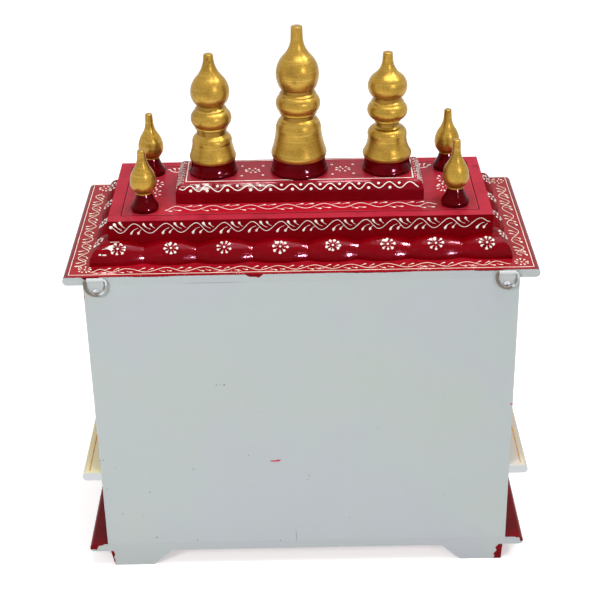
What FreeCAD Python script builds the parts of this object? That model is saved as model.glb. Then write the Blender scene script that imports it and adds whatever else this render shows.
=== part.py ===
import FreeCAD, Part
import math
import os
import re
import Sketcher
from FreeCAD import Rotation, Vector

# A wooden household shrine: three bullnosed boards carry a plinth storey and an open niche
# with turned columns, and the roof carries a petal moulding, two tiers and turned spires.
# The niche faces -Y, the plain back faces +Y, left is -X, and Z starts at the floor.

# Driving dimensions in millimetres and degrees, one spreadsheet cell each
SIZES = {
    # The three boards and the storeys between them
    "board_width": 383,
    "board_depth": 190,
    "board_thick": 7.5,
    "board_round": 3.4,
    "board_corner": 5,
    "board_overhang": 16.1,
    "front_overhang": 15,
    "lower_storey": 68.4,
    "upper_storey": 181.5,
    "panel_thick": 7.5,
    "wall_thick": 7.5,
    # Corner feet
    "foot_height": 15.5,
    "foot_reach": 54.5,
    "foot_wood": 9,
    "foot_inset": 1.9,
    "foot_outer_slant": 3,
    "back_left_outer_slant": 0.9,
    "foot_inner_slant": 17,
    "foot_toe_round": 2.5,
    # Columns and arch of the niche
    "column_block": 22,
    "column_plinth": 26,
    "column_capital": 20,
    "column_shaft_radius": 6.6,
    "column_belly_radius": 9.4,
    "column_belly_height": 52,
    "column_neck_radius": 5.4,
    "column_bead_radius": 8.6,
    "column_bead_height": 7,
    "arch_thick": 6,
    "arch_height": 50,
    "arch_rise": 33,
    "arch_shoulder": 12,
    # Petal moulding round the lower tier
    "petal_radius": 15,
    "petal_dip": 4.2,
    "petal_plinth": 1.2,
    # How far each valley of the back strip stands to the left of an even share, from the right
    "back_valley_shift_1": 1.3,
    "back_valley_shift_2": 0.4,
    "back_valley_shift_3": 3.6,
    "back_valley_shift_4": 5.6,
    "back_valley_shift_5": 3.6,
    "back_valley_shift_6": 3.3,
    "back_valley_shift_7": 2.8,
    # Lower tier, a shallow box of boards on edge round a flush panel
    "tier_setback": 33.5,
    "tier_side_setback": 35,
    "tier_height": 33,
    "tier_wall": 10,
    "tier_panel_thick": 8,
    "tier_panel_chamfer": 0.7,
    # Upper tier, one solid block
    "crown_setback": 54,
    "crown_depth": 60,
    "crown_height": 16.5,
    "crown_round": 7.8,
    # Places of the spires, the large ones sharing out the length that their feet leave free
    "spire_gap": 27.4,
    "spire_end_gap": 9.9,
    "left_spire_shift": 1.5,
    "corner_spire_side_inset": 29,
    "corner_spire_end_inset": 23.5,
    # Ring hangers on the back
    "hanger_inset": 10.4,
    "hanger_rise": 5.2,
    "strap_width": 13.3,
    "strap_sheet": 0.8,
    "strap_screw_drop": 10.2,
    "strap_end_radius": 5.2,
    "strap_hole_radius": 1.7,
    "ring_wire_radius": 1,
    "ring_bow_radius": 8.7,
    "ring_leg": 4,
    "ring_corner": 2.2,
    "ring_clearance": 0.06,
    "ring_rest_angle": 10,
}

# Turnings of the large spires from the foot up, each height measured from the one below
LARGE_TURNINGS = {
    "centre": {
        "foot_height": 13.5, "foot_radius": 24, "foot_swell": 4.6, "foot_waist": 22,
        "lip_height": 6, "lip_radius": 23.2, "bell_height": 16.5, "bell_radius": 19,
        "bell_hollow": 0.5, "shoulder_height": 10.2, "shoulder_round": 1,
        "neck_height": 6.8, "neck_radius": 14.2, "ring_height": 13.6, "ring_radius": 18.4,
        "throat_height": 7.2, "throat_radius": 13.8, "bulb_height": 10.9, "bulb_radius": 17.7,
        "drop_height": 31, "drop_share": 0.5, "tip_height": 8.7, "tip_radius": 5,
    },
    "left": {
        "foot_height": 12, "foot_radius": 20.6, "foot_swell": 4.2, "foot_waist": 19.2,
        "lip_height": 5, "lip_radius": 20.4, "bell_height": 13.4, "bell_radius": 16.2,
        "bell_hollow": 1.1, "shoulder_height": 7.6, "shoulder_round": 1.9,
        "neck_height": 6.8, "neck_radius": 9.8, "ring_height": 13.8, "ring_radius": 16.6,
        "throat_height": 6.6, "throat_radius": 12, "bulb_height": 7.6, "bulb_radius": 16.2,
        "drop_height": 23.4, "drop_share": 0.42, "tip_height": 5.1, "tip_radius": 4.3,
    },
    "right": {
        "foot_height": 12, "foot_radius": 20.2, "foot_swell": 4.2, "foot_waist": 18.6,
        "lip_height": 5, "lip_radius": 19.5, "bell_height": 9.7, "bell_radius": 16.5,
        "bell_hollow": 0.2, "shoulder_height": 6.8, "shoulder_round": 1.1,
        "neck_height": 8, "neck_radius": 12.4, "ring_height": 13.7, "ring_radius": 16.9,
        "throat_height": 6.2, "throat_radius": 11.6, "bulb_height": 8.8, "bulb_radius": 16.1,
        "drop_height": 30.8, "drop_share": 0.42, "tip_height": 1.6, "tip_radius": 4.1,
    },
}
# Turning that the four corner spires share, and the length of each one's own tip
SMALL_TURNING = {
    "foot_height": 14.6, "foot_radius": 11.4, "foot_swell": 5.2, "foot_waist": 6.4,
    "collar_height": 1.2, "collar_radius": 6.7,
    "bulb_height": 8.4, "bulb_radius": 10.8, "drop_height": 24, "drop_share": 0.5,
    "tip_radius": 3.4,
}
CORNER_TIPS = {"front_left": 5.4, "front_right": 6.4, "back_left": 7.9, "back_right": 4}
for which, turning in [*LARGE_TURNINGS.items(), ("corner", SMALL_TURNING)]:
    SIZES.update({f"{which}_{name}": value for name, value in turning.items()})
SIZES.update({f"{corner}_tip_height": value for corner, value in CORNER_TIPS.items()})

# Levels and faces that several pieces share
BASE_TOP = "(foot_height + board_thick)"
SHELF_UNDER = f"({BASE_TOP} + lower_storey)"
SHELF_TOP = f"({SHELF_UNDER} + board_thick)"
ROOF_UNDER = f"({SHELF_TOP} + upper_storey)"
ROOF_TOP = f"({ROOF_UNDER} + board_thick)"
TIER_TOP = f"({ROOF_TOP} + tier_height)"
CROWN_TOP = f"({TIER_TOP} + crown_height)"
BACK = "(board_depth / 2)"
HALF_BODY = "(board_width / 2 - board_overhang)"
BODY_FRONT = "(front_overhang - board_depth / 2)"
PANEL_FRONT = f"({BACK} - panel_thick)"
TIER_X = "(board_width / 2 - tier_side_setback)"
TIER_Y = "(board_depth / 2 - tier_setback)"
COLUMN_X = f"({HALF_BODY} - column_block / 2)"
COLUMN_Y = f"({BODY_FRONT} + column_block / 2)"
CORNER_X = f"({TIER_X} - corner_spire_side_inset)"
CORNER_Y = f"({TIER_Y} - corner_spire_end_inset)"
CROWN_X = f"({TIER_X} - crown_setback)"
CROWN_FREE = f"({CROWN_X} - centre_foot_radius - 2 * left_foot_radius)"
SPIRE_X = (
    f"(centre_foot_radius + left_foot_radius"
    f" + {CROWN_FREE} * spire_gap / (spire_gap + spire_end_gap))"
)

# Sagitta of a quarter circle as a share of its radius
QUARTER_BULGE = 1 - math.cos(math.pi / 4)
ARCH_CUSPS = 7
BACK_VALLEYS = [f"back_valley_shift_{step}" for step in range(1, 8)]
FRONT_VALLEYS = ["0"] * 7
SIDE_VALLEYS = ["0"] * 3

doc = FreeCAD.newDocument("shrine")


def fill_sheet():
    """Write each driving dimension to its own cell, with its name as the alias."""
    sheet = doc.addObject("Spreadsheet::Sheet", "Sizes")
    for row, (name, value) in enumerate(SIZES.items(), start=1):
        sheet.set(f"A{row}", name)
        sheet.set(f"B{row}", str(value))
        sheet.setAlias(f"B{row}", name)
    doc.recompute()
    return sheet


sheet = fill_sheet()
ALIAS = re.compile(r"\b(" + "|".join(SIZES) + r")\b")


def cells(formula):
    """Point the sizes named in a formula at their cells."""
    return ALIAS.sub(r"Sizes.\1", str(formula))


def number(formula):
    """Value of a formula of sizes."""
    return float(sheet.evalExpression(str(formula)))


def bind(target, **formulas):
    """Bind properties of an object to formulas of sizes; a double underscore stands for a dot."""
    for path, formula in formulas.items():
        target.setExpression(path.replace("__", "."), cells(formula))


def place(target, across="0", along="0", up="0", turn=0, axis=Vector(0, 0, 1)):
    """Put an object at its place, turned about an axis through its own origin."""
    target.Placement = FreeCAD.Placement(Vector(), Rotation(axis, turn))
    bind(target, Placement__Base__x=across, Placement__Base__y=along, Placement__Base__z=up)


def new_body(label):
    body = doc.addObject("PartDesign::Body", label)
    body.Label = label
    return body


def new_sketch(body, plane, name):
    """Sketch on one of the body's own origin planes."""
    sketch = body.newObject("Sketcher::SketchObject", name)
    support = next(item for item in body.Origin.OriginFeatures if item.Role == plane)
    sketch.AttachmentSupport = [(support, "")]
    sketch.MapMode = "FlatFace"
    return sketch


def pin(sketch, index, spot, across, up):
    """Fix one point of a sketch at two formulas, measured from the sketch's origin."""
    for kind, formula in (("DistanceX", across), ("DistanceY", up)):
        constraint = Sketcher.Constraint(kind, -1, 1, index, spot, number(formula))
        sketch.setExpression(f"Constraints[{sketch.addConstraint(constraint)}]", cells(formula))


def draw_path(sketch, corners):
    """Draw a closed loop of corners (across, up, bulge of the edge that follows).

    A bulge is the height of an arc over its chord, and leans to the right of the way drawn.
    """
    spots = [Vector(number(across), number(up), 0) for across, up, _ in corners]
    edges = []
    for step, (across, up, bulge) in enumerate(corners):
        following = (step + 1) % len(corners)
        start, end = spots[step], spots[following]
        lean = number(bulge)
        ends = (1, 2) if lean >= 0 else (2, 1)
        if lean:
            chord = end - start
            side = Vector(chord.y, -chord.x, 0).normalize()
            radius = chord.Length ** 2 / (8 * abs(lean)) + abs(lean) / 2
            centre = (start + end) / 2 + side * (lean - math.copysign(radius, lean))
            first, second = (start, end) if lean > 0 else (end, start)
            begin, finish = (
                math.atan2(point.y - centre.y, point.x - centre.x) for point in (first, second)
            )
            circle = Part.Circle(centre, Vector(0, 0, 1), radius)
            index = sketch.addGeometry(Part.ArcOfCircle(circle, begin, finish))
            next_across, next_up, _ = corners[following]
            span = f"(({next_across} - {across})^2 + ({next_up} - {up})^2)"
            formula = f"{span} / (8 * abs({bulge})) + abs({bulge}) / 2"
            bow = sketch.addConstraint(Sketcher.Constraint("Radius", index, radius))
            sketch.setExpression(f"Constraints[{bow}]", cells(formula))
        else:
            index = sketch.addGeometry(Part.LineSegment(start, end))
        pin(sketch, index, ends[0], across, up)
        edges.append((index, ends))
    for (index, ends), (following, following_ends) in zip(edges, edges[1:] + edges[:1]):
        joint = ("Coincident", index, ends[1], following, following_ends[0])
        sketch.addConstraint(Sketcher.Constraint(*joint))


def draw_circle(sketch, across, up, radius):
    circle = Part.Circle(Vector(number(across), number(up), 0), Vector(0, 0, 1), number(radius))
    index = sketch.addGeometry(circle)
    pin(sketch, index, 3, across, up)
    bow = sketch.addConstraint(Sketcher.Constraint("Radius", index, number(radius)))
    sketch.setExpression(f"Constraints[{bow}]", cells(radius))


def pad(body, sketch, length, reverse=False, midplane=False):
    feature = body.newObject("PartDesign::Pad", sketch.Name + "_pad")
    feature.Profile = sketch
    feature.Reversed = reverse
    feature.Midplane = midplane
    bind(feature, Length=length)
    doc.recompute()
    return feature


def cut_through(body, sketch):
    """Cut a sketch right through the body both ways."""
    feature = body.newObject("PartDesign::Pocket", sketch.Name + "_cut")
    feature.Profile = sketch
    feature.Type = "ThroughAll"
    feature.Midplane = True
    before = body.Shape.Volume
    doc.recompute()
    if body.Shape.Volume >= before:
        raise RuntimeError(f"{sketch.Name} cuts nothing")
    return feature


def revolve(body, sketch, axis, angle=360):
    feature = body.newObject("PartDesign::Revolution", sketch.Name + "_turn")
    feature.Profile = sketch
    feature.ReferenceAxis = (sketch, [axis])
    feature.Angle = angle
    doc.recompute()
    return feature


def edges_where(shape, test):
    """Names of the edges whose ends and middle all pass a test."""
    found = []
    for index, edge in enumerate(shape.Edges, start=1):
        middle = edge.valueAt((edge.FirstParameter + edge.LastParameter) / 2)
        if all(test(point) for point in [vertex.Point for vertex in edge.Vertexes] + [middle]):
            found.append(f"Edge{index}")
    return found


def round_edges(body, base, names, radius):
    feature = body.newObject("PartDesign::Fillet", base.Name + "_round")
    feature.Base = (base, names)
    bind(feature, Radius=radius)
    doc.recompute()
    return feature


def near(first, second):
    return abs(first - second) < 1e-4


# Boards
def bullnosed_board(label, under, notched=False):
    """Board with a rounded rim on three sides; a notch lets the back panel pass."""
    half, front = "(board_width / 2)", "(-board_depth / 2)"
    arc = f"(board_corner * {QUARTER_BULGE})"
    corners = [
        (f"-{half}", f"({front} + board_corner)", arc),
        (f"(board_corner - {half})", front, "0"),
        (f"({half} - board_corner)", front, arc),
        (half, f"({front} + board_corner)", "0"),
        (half, BACK, "0"),
    ]
    if notched:
        corners += [
            (HALF_BODY, BACK, "0"),
            (HALF_BODY, PANEL_FRONT, "0"),
            (f"-{HALF_BODY}", PANEL_FRONT, "0"),
            (f"-{HALF_BODY}", BACK, "0"),
        ]
    corners.append((f"-{half}", BACK, "0"))
    body = new_body(label)
    outline = new_sketch(body, "XY_Plane", label + "_outline")
    draw_path(outline, corners)
    slab = pad(body, outline, "board_thick")
    reach, back, thick = number(half), number(BACK), number("board_thick")

    def on_rim(point):
        level = near(point.z, 0) or near(point.z, thick)
        outside = near(abs(point.x), reach) or point.y < number(BODY_FRONT)
        return level and outside and point.y <= back

    round_edges(body, slab, edges_where(slab.Shape, on_rim), "board_round")
    place(body, up=under)


def plain_board(label, size, corner):
    """Square-edged board of a size (across, along, up) with its lowest corner at a place."""
    board = doc.addObject("Part::Box", label)
    board.Label = label
    bind(board, Length=size[0], Width=size[1], Height=size[2])
    place(board, *corner)
    return board


def corner_foot(label, side, end, slant):
    """Bracket foot: an end strip with a slanted outer edge, butted over a side strip."""
    body = new_body(label)
    toe = "(foot_reach - foot_inner_slant)"
    end_strip = new_sketch(body, "XZ_Plane", label + "_end_strip")
    end_corners = (
        ("0", "foot_height"), ("foot_reach", "foot_height"), (toe, "0"), (slant, "0"),
    )
    draw_path(end_strip, [(f"({-side} * {across})", up, "0") for across, up in end_corners])
    pad(body, end_strip, "foot_wood", reverse=end < 0)
    side_strip = new_sketch(body, "YZ_Plane", label + "_side_strip")
    side_corners = (
        ("foot_wood", "0"), ("foot_wood", "foot_height"), ("foot_reach", "foot_height"), (toe, "0"),
    )
    draw_path(side_strip, [(f"({-end} * {along})", up, "0") for along, up in side_corners])
    joined = pad(body, side_strip, "foot_wood", reverse=side > 0)
    inner = number(toe)

    def on_toe(point):
        return near(point.z, 0) and (near(abs(point.x), inner) or near(abs(point.y), inner))

    round_edges(body, joined, edges_where(joined.Shape, on_toe), "foot_toe_round")
    face = BACK if end > 0 else f"({BODY_FRONT} + foot_inset)"
    place(body, f"{side} * ({HALF_BODY} - foot_inset)", face)


# Niche
def column(label, side):
    """Square plinth and capital with a turned, bellied shaft between them."""
    body = new_body(label)
    half = "(column_block / 2)"
    for name, level, height in (
        ("plinth", "0", "column_plinth"),
        ("capital", "(upper_storey - column_capital)", "column_capital"),
    ):
        block = new_sketch(body, "XY_Plane", f"{label}_{name}")
        block.AttachmentOffset = FreeCAD.Placement(Vector(0, 0, number(level)), Rotation())
        bind(block, AttachmentOffset__Base__z=level)
        draw_path(block, [
            (f"-{half}", f"-{half}", "0"), (half, f"-{half}", "0"),
            (half, half, "0"), (f"-{half}", half, "0"),
        ])
        pad(body, block, height)
        if name == "plinth":
            shaft(body, label)
    place(body, f"{side} * {COLUMN_X}", COLUMN_Y, SHELF_TOP)


def shaft(body, label):
    """Turned shaft from the plinth into the capital: bead, belly, bead, taper and bead."""
    foot = "column_plinth"
    head = "(upper_storey - column_capital)"
    bead, neck, ring = "column_bead_height", "column_neck_radius", "column_bead_radius"
    fillet = "(column_bead_height / 3)"
    belly_foot = f"({foot} + {bead})"
    belly_top = f"({belly_foot} + column_belly_height)"
    taper_foot = f"({belly_top} + {bead})"
    taper_top = f"({head} - {bead})"
    profile = new_sketch(body, "XZ_Plane", label + "_shaft")
    draw_path(profile, [
        ("0", foot, "0"),
        (ring, foot, fillet),
        (ring, belly_foot, "0"),
        (neck, belly_foot, f"(column_belly_radius - {neck})"),
        (neck, belly_top, "0"),
        (f"({ring} - {fillet})", belly_top, fillet),
        (f"({ring} - {fillet})", taper_foot, "0"),
        ("column_shaft_radius", taper_foot, "0"),
        (neck, taper_top, "0"),
        (f"({ring} - {fillet})", taper_top, fillet),
        (f"({ring} - {fillet})", head, "0"),
        ("0", head, "0"),
    ])
    revolve(body, profile, "V_Axis")


def front_arch():
    """Board under the roof with a cusped arch cut in its lower edge."""
    half = f"({COLUMN_X} - column_block / 2)"
    span = f"({half} - arch_shoulder)"
    corners = [(half, "0", "0"), (half, "arch_height", "0"), (f"-{half}", "arch_height", "0"),
               (f"-{half}", "0", "0")]
    for cusp in range(ARCH_CUSPS + 1):
        turn = math.pi * cusp / ARCH_CUSPS
        lobe = f"(-arch_rise / {ARCH_CUSPS})" if cusp < ARCH_CUSPS else "0"
        corners.append((
            f"(-{span} * {math.cos(turn):.6f})", f"(arch_rise * {math.sin(turn):.6f})", lobe,
        ))
    body = new_body("front_arch")
    outline = new_sketch(body, "XZ_Plane", "arch_outline")
    draw_path(outline, corners)
    pad(body, outline, "arch_thick", midplane=True)
    place(body, "0", COLUMN_Y, f"({ROOF_UNDER} - arch_height)")


# Roof
def petal_strip(label, half_run, shifts, across, along, turn):
    """Quarter-round moulding scalloped at shifted valleys into petals, mitred at both ends."""
    body = new_body(label)
    run = f"({half_run} + petal_radius)"
    pitch = f"(2 * {run} / {len(shifts) + 1})"
    valley = "(petal_radius - petal_dip)"
    valleys = [f"({run} - {step} * {pitch} - {shift})" for step, shift in enumerate(shifts, 1)]
    corners = [(f"-{run}", "0", "0"), (run, "0", "0"), (run, "petal_radius", "0")]
    corners.append((f"({run} - {pitch} / 2)", "petal_radius", "(petal_dip / 4)"))
    corners += [(spot, valley, "petal_dip") for spot in valleys[:-1]]
    corners.append((valleys[-1], valley, "(petal_dip / 4)"))
    corners += [(f"({pitch} / 2 - {run})", "petal_radius", "0"), (f"-{run}", "petal_radius", "0")]
    scallops = new_sketch(body, "XY_Plane", label + "_scallops")
    draw_path(scallops, corners)
    pad(body, scallops, "petal_plinth", reverse=True)
    rounded = new_sketch(body, "XY_Plane", label + "_rounding")
    draw_path(rounded, corners)
    revolve(body, rounded, "H_Axis", 90)
    mitres = new_sketch(body, "XY_Plane", label + "_mitres")
    draw_path(mitres, [(half_run, "0", "0"), (f"({run} + 1)", "0", "0"),
                       (f"({run} + 1)", "(petal_radius + 1)", "0")])
    draw_path(mitres, [(f"-{half_run}", "0", "0"),
                       (f"-({run} + 1)", "(petal_radius + 1)", "0"), (f"-({run} + 1)", "0", "0")])
    cut_through(body, mitres)
    place(body, across, along, f"({ROOF_TOP} + petal_plinth)", turn)


def tier_box():
    """Four boards on edge, butted at the corners, round a flush chamfered panel."""
    long_size = (f"2 * {TIER_X}", "tier_wall", "tier_height")
    side_size = ("tier_wall", f"2 * ({TIER_Y} - tier_wall)", "tier_height")
    plain_board("tier_wall_back", long_size, (f"-{TIER_X}", f"({TIER_Y} - tier_wall)", ROOF_TOP))
    plain_board("tier_wall_front", long_size, (f"-{TIER_X}", f"-{TIER_Y}", ROOF_TOP))
    inner = f"(tier_wall - {TIER_Y})"
    plain_board("tier_wall_left", side_size, (f"-{TIER_X}", inner, ROOF_TOP))
    plain_board("tier_wall_right", side_size, (f"({TIER_X} - tier_wall)", inner, ROOF_TOP))
    blank = plain_board(
        "tier_panel_blank",
        (f"2 * ({TIER_X} - tier_wall)", f"2 * ({TIER_Y} - tier_wall)", "tier_panel_thick"),
        (f"(tier_wall - {TIER_X})", inner, f"({TIER_TOP} - tier_panel_thick)"),
    )
    dress_top("tier_panel", blank, TIER_TOP, "Part::Chamfer", "tier_panel_chamfer")
    block = plain_board(
        "upper_tier_blank", (f"2 * {CROWN_X}", "crown_depth", "crown_height"),
        (f"-{CROWN_X}", "-crown_depth / 2", TIER_TOP),
    )
    dress_top("upper_tier", block, CROWN_TOP, "Part::Fillet", "crown_round")


def dress_top(label, blank, top, kind, amount):
    """Round or chamfer the rim of a blank's top face."""
    doc.recompute()
    level, value = number(top), number(amount)
    rim = edges_where(blank.Shape, lambda point: near(point.z, level))
    dressed = doc.addObject(kind, label)
    dressed.Label = label
    dressed.Base = blank
    dressed.Edges = [(int(name[4:]), value, value) for name in rim]


# Spires
def turned(label, corners, across, along, up):
    """Solid of revolution about a vertical axis at a place."""
    body = new_body(label)
    profile = new_sketch(body, "XZ_Plane", label + "_profile")
    draw_path(profile, corners)
    revolve(body, profile, "V_Axis")
    place(body, across, along, up)


def stack(level, which, names):
    """Levels reached by adding each named height of a turning to the one below."""
    levels = []
    for name in names:
        level = f"({level} + {which}_{name})"
        levels.append(level)
    return levels


def swell(narrow, wide, rise):
    """Bulge of an arc that climbs from a narrow radius and ends upright at a wide one."""
    run = f"sqrt(({wide} - {narrow})^2 + {rise}^2)"
    return f"({run} * ({wide} - {narrow}) / (2 * ({run} + {rise})))"


def onion(wide, wide_up, thin, thin_up, share):
    """Two corners of an S-curve, upright at a bulb's widest place and where its tip begins.

    The curve is rounded outward over the given share of its length and hollow over the rest.
    """
    lean = swell(thin, wide, f"({thin_up} - {wide_up})")
    return [
        (wide, wide_up, f"({lean} * {share})"),
        (f"({wide} - ({wide} - {thin}) * {share})",
         f"({wide_up} + ({thin_up} - {wide_up}) * {share})", f"({lean} * ({share} - 1))"),
    ]


def blunt_tip(radius, up):
    """Corners of a tip with a worn rim, back to the axis."""
    return [
        (f"({radius} - 0.3)", f"({up} - 0.9)", "0.25"),
        (f"({radius} - 1.1)", up, "0"),
        ("0", up, "0"),
    ]


def spire_foot(label, which, across, along, up):
    """Red foot that swells over its seat and draws in to a waist under the gilding."""
    radius, swelling = f"{which}_foot_radius", f"{which}_foot_swell"
    turned(label, [
        ("0", "0", "0"),
        (f"({radius} - 1)", "0", "1"),
        (f"({radius} - 0.8)", swelling, "-0.5"),
        (f"{which}_foot_waist", f"{which}_foot_height", "0"),
        ("0", f"{which}_foot_height", "0"),
    ], across, along, up)


def large_spire(label, which, across, along, up):
    """Gilded bell, ring and onion-shaped bulb, with a step of one groove at each neck."""
    groove = "1.4"
    start = f"{which}_foot_height"
    lip, bell, shoulder, neck_top, ring_top, throat, bulb, drop, tip = stack(start, which, (
        "lip_height", "bell_height", "shoulder_height", "neck_height", "ring_height",
        "throat_height", "bulb_height", "drop_height", "tip_height",
    ))
    neck, lip_radius = f"{which}_neck_radius", f"{which}_lip_radius"
    tip_radius, bulb_radius = f"{which}_tip_radius", f"{which}_bulb_radius"
    bead, throat_radius = f"({neck} + {groove})", f"{which}_throat_radius"
    collar = f"({throat_radius} + {groove})"
    turned(label, [
        ("0", start, "0"),
        (f"({lip_radius} - 1)", start, "0.8"),
        (f"({lip_radius} - 0.7)", lip, f"(-{which}_bell_hollow)"),
        (f"{which}_bell_radius", bell, f"{which}_shoulder_round"),
        (bead, shoulder, "0"),
        (neck, f"({shoulder} + {groove})", "0"),
        (neck, f"({neck_top} - 2 * {groove})", "0"),
        (bead, f"({neck_top} - {groove})", "0"),
        (bead, neck_top, f"({which}_ring_radius - ({bead} + {collar}) / 2)"),
        (collar, ring_top, "0"),
        (collar, f"({ring_top} + {groove})", "0"),
        (throat_radius, f"({ring_top} + 2 * {groove})", "0"),
        (throat_radius, f"({throat} - {groove})", "0"),
        (collar, throat, swell(collar, bulb_radius, f"{which}_bulb_height")),
        *onion(bulb_radius, bulb, tip_radius, drop, f"{which}_drop_share"),
        (tip_radius, drop, "0"),
        *blunt_tip(tip_radius, tip),
    ], across, along, up)


def corner_spire(label, corner, across, along, up):
    """Gilded pear-shaped bulb on a thin collar, drawn out to a blunt tip."""
    start = "corner_foot_height"
    collar, bulb, drop = stack(start, "corner", (
        "collar_height", "bulb_height", "drop_height",
    ))
    tip = f"({drop} + {corner}_tip_height)"
    collar_radius, bulb_radius = "corner_collar_radius", "corner_bulb_radius"
    turned(label, [
        ("0", start, "0"),
        (collar_radius, start, "0.3"),
        (collar_radius, collar, swell(collar_radius, bulb_radius, "corner_bulb_height")),
        *onion(bulb_radius, bulb, "corner_tip_radius", drop, "corner_drop_share"),
        ("corner_tip_radius", drop, "0"),
        *blunt_tip("corner_tip_radius", tip),
    ], across, along, up)


def spires():
    """Three large spires on the upper tier and a small one at each corner of the lower tier."""
    for which, across in (
        ("centre", "0"), ("left", f"(-{SPIRE_X} - left_spire_shift)"), ("right", SPIRE_X),
    ):
        large_spire(f"spire_{which}", which, across, "0", CROWN_TOP)
        spire_foot(f"spire_foot_{which}", which, across, "0", CROWN_TOP)
    for end, along in (("front", f"(-{CORNER_Y})"), ("back", CORNER_Y)):
        for side, across in (("left", f"(-{CORNER_X})"), ("right", CORNER_X)):
            corner = f"{end}_{side}"
            corner_spire(f"spire_{corner}", corner, across, along, TIER_TOP)
            spire_foot(f"spire_foot_{corner}", "corner", across, along, TIER_TOP)


# Hangers
PIN_OUT = "(ring_wire_radius + ring_clearance + strap_sheet)"
PIN_UP = f"({ROOF_UNDER} + hanger_rise)"


def hanger_strap(label, side):
    """Doubled sheet strap folded round the ring's bar, with a round end and a screw hole."""
    body = new_body(label)
    eye = PIN_OUT
    tab = "(2 * strap_sheet)"
    end = "(-strap_screw_drop - strap_end_radius)"
    reach = number(eye)
    inward = math.sqrt(reach ** 2 - (reach - number(tab)) ** 2)
    low = f"(-sqrt(({eye})^2 - ({eye} - {tab})^2))"
    top_bulge = f"({eye} * {QUARTER_BULGE})"
    profile = new_sketch(body, "YZ_Plane", label + "_profile")
    sweep = math.atan2(inward, reach - number(tab))
    draw_path(profile, [
        ("0", end, "0"), (tab, end, "0"),
        (tab, low, f"({eye} * {1 - math.cos((math.pi - sweep) / 2):.6f})"),
        (f"(2 * {eye})", "0", top_bulge),
        (eye, eye, top_bulge),
        ("0", "0", "0"),
    ])
    draw_circle(profile, eye, "0", "(ring_wire_radius + ring_clearance)")
    pad(body, profile, "strap_width", midplane=True)
    trim = new_sketch(body, "XZ_Plane", label + "_trim")
    half, screw = "(strap_width / 2)", "(-strap_screw_drop)"
    for sign in ("", "-"):
        lean = f"({sign or '+'}1 * strap_end_radius * {QUARTER_BULGE})".replace("+1", "1")
        draw_path(trim, [
            (f"({sign}1 * {half})", f"({screw} + strap_end_radius)", "0"),
            (f"({sign}1 * strap_end_radius)", screw, lean),
            ("0", end, "0"),
            (f"({sign}1 * ({half} + 1))", f"({end} - 1)", "0"),
            (f"({sign}1 * ({half} + 1))", f"({screw} + strap_end_radius)", "0"),
        ])
    cut_through(body, trim)
    hole = new_sketch(body, "XZ_Plane", label + "_hole")
    draw_circle(hole, "0", screw, "strap_hole_radius")
    cut_through(body, hole)
    place(body, f"{side} * ({HALF_BODY} - hanger_inset)", BACK, PIN_UP)


def hanger_ring(label, side):
    """D-shaped wire ring whose straight bar turns in the strap, leaning on the screw at rest."""
    body = new_body(label)
    bow, leg, turn = "ring_bow_radius", "ring_leg", "ring_corner"
    arc = f"({turn} * {QUARTER_BULGE})"
    quarter = f"({bow} * {QUARTER_BULGE})"
    path = new_sketch(body, "XZ_Plane", label + "_path")
    draw_path(path, [
        ("0", "0", "0"),
        (f"({turn} - {bow})", "0", arc),
        (f"-{bow}", f"-{turn}", "0"),
        (f"-{bow}", f"-{leg}", quarter),
        ("0", f"(-{leg} - {bow})", quarter),
        (bow, f"-{leg}", "0"),
        (bow, f"-{turn}", arc),
        (f"({bow} - {turn})", "0", "0"),
    ])
    section = new_sketch(body, "YZ_Plane", label + "_section")
    draw_circle(section, "0", "0", "ring_wire_radius")
    wire = body.newObject("PartDesign::AdditivePipe", label + "_wire")
    wire.Profile = section
    wire.Spine = path
    doc.recompute()
    place(body, f"{side} * ({HALF_BODY} - hanger_inset)", f"({BACK} + {PIN_OUT})", PIN_UP,
          number("ring_rest_angle"), Vector(1, 0, 0))


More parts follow.
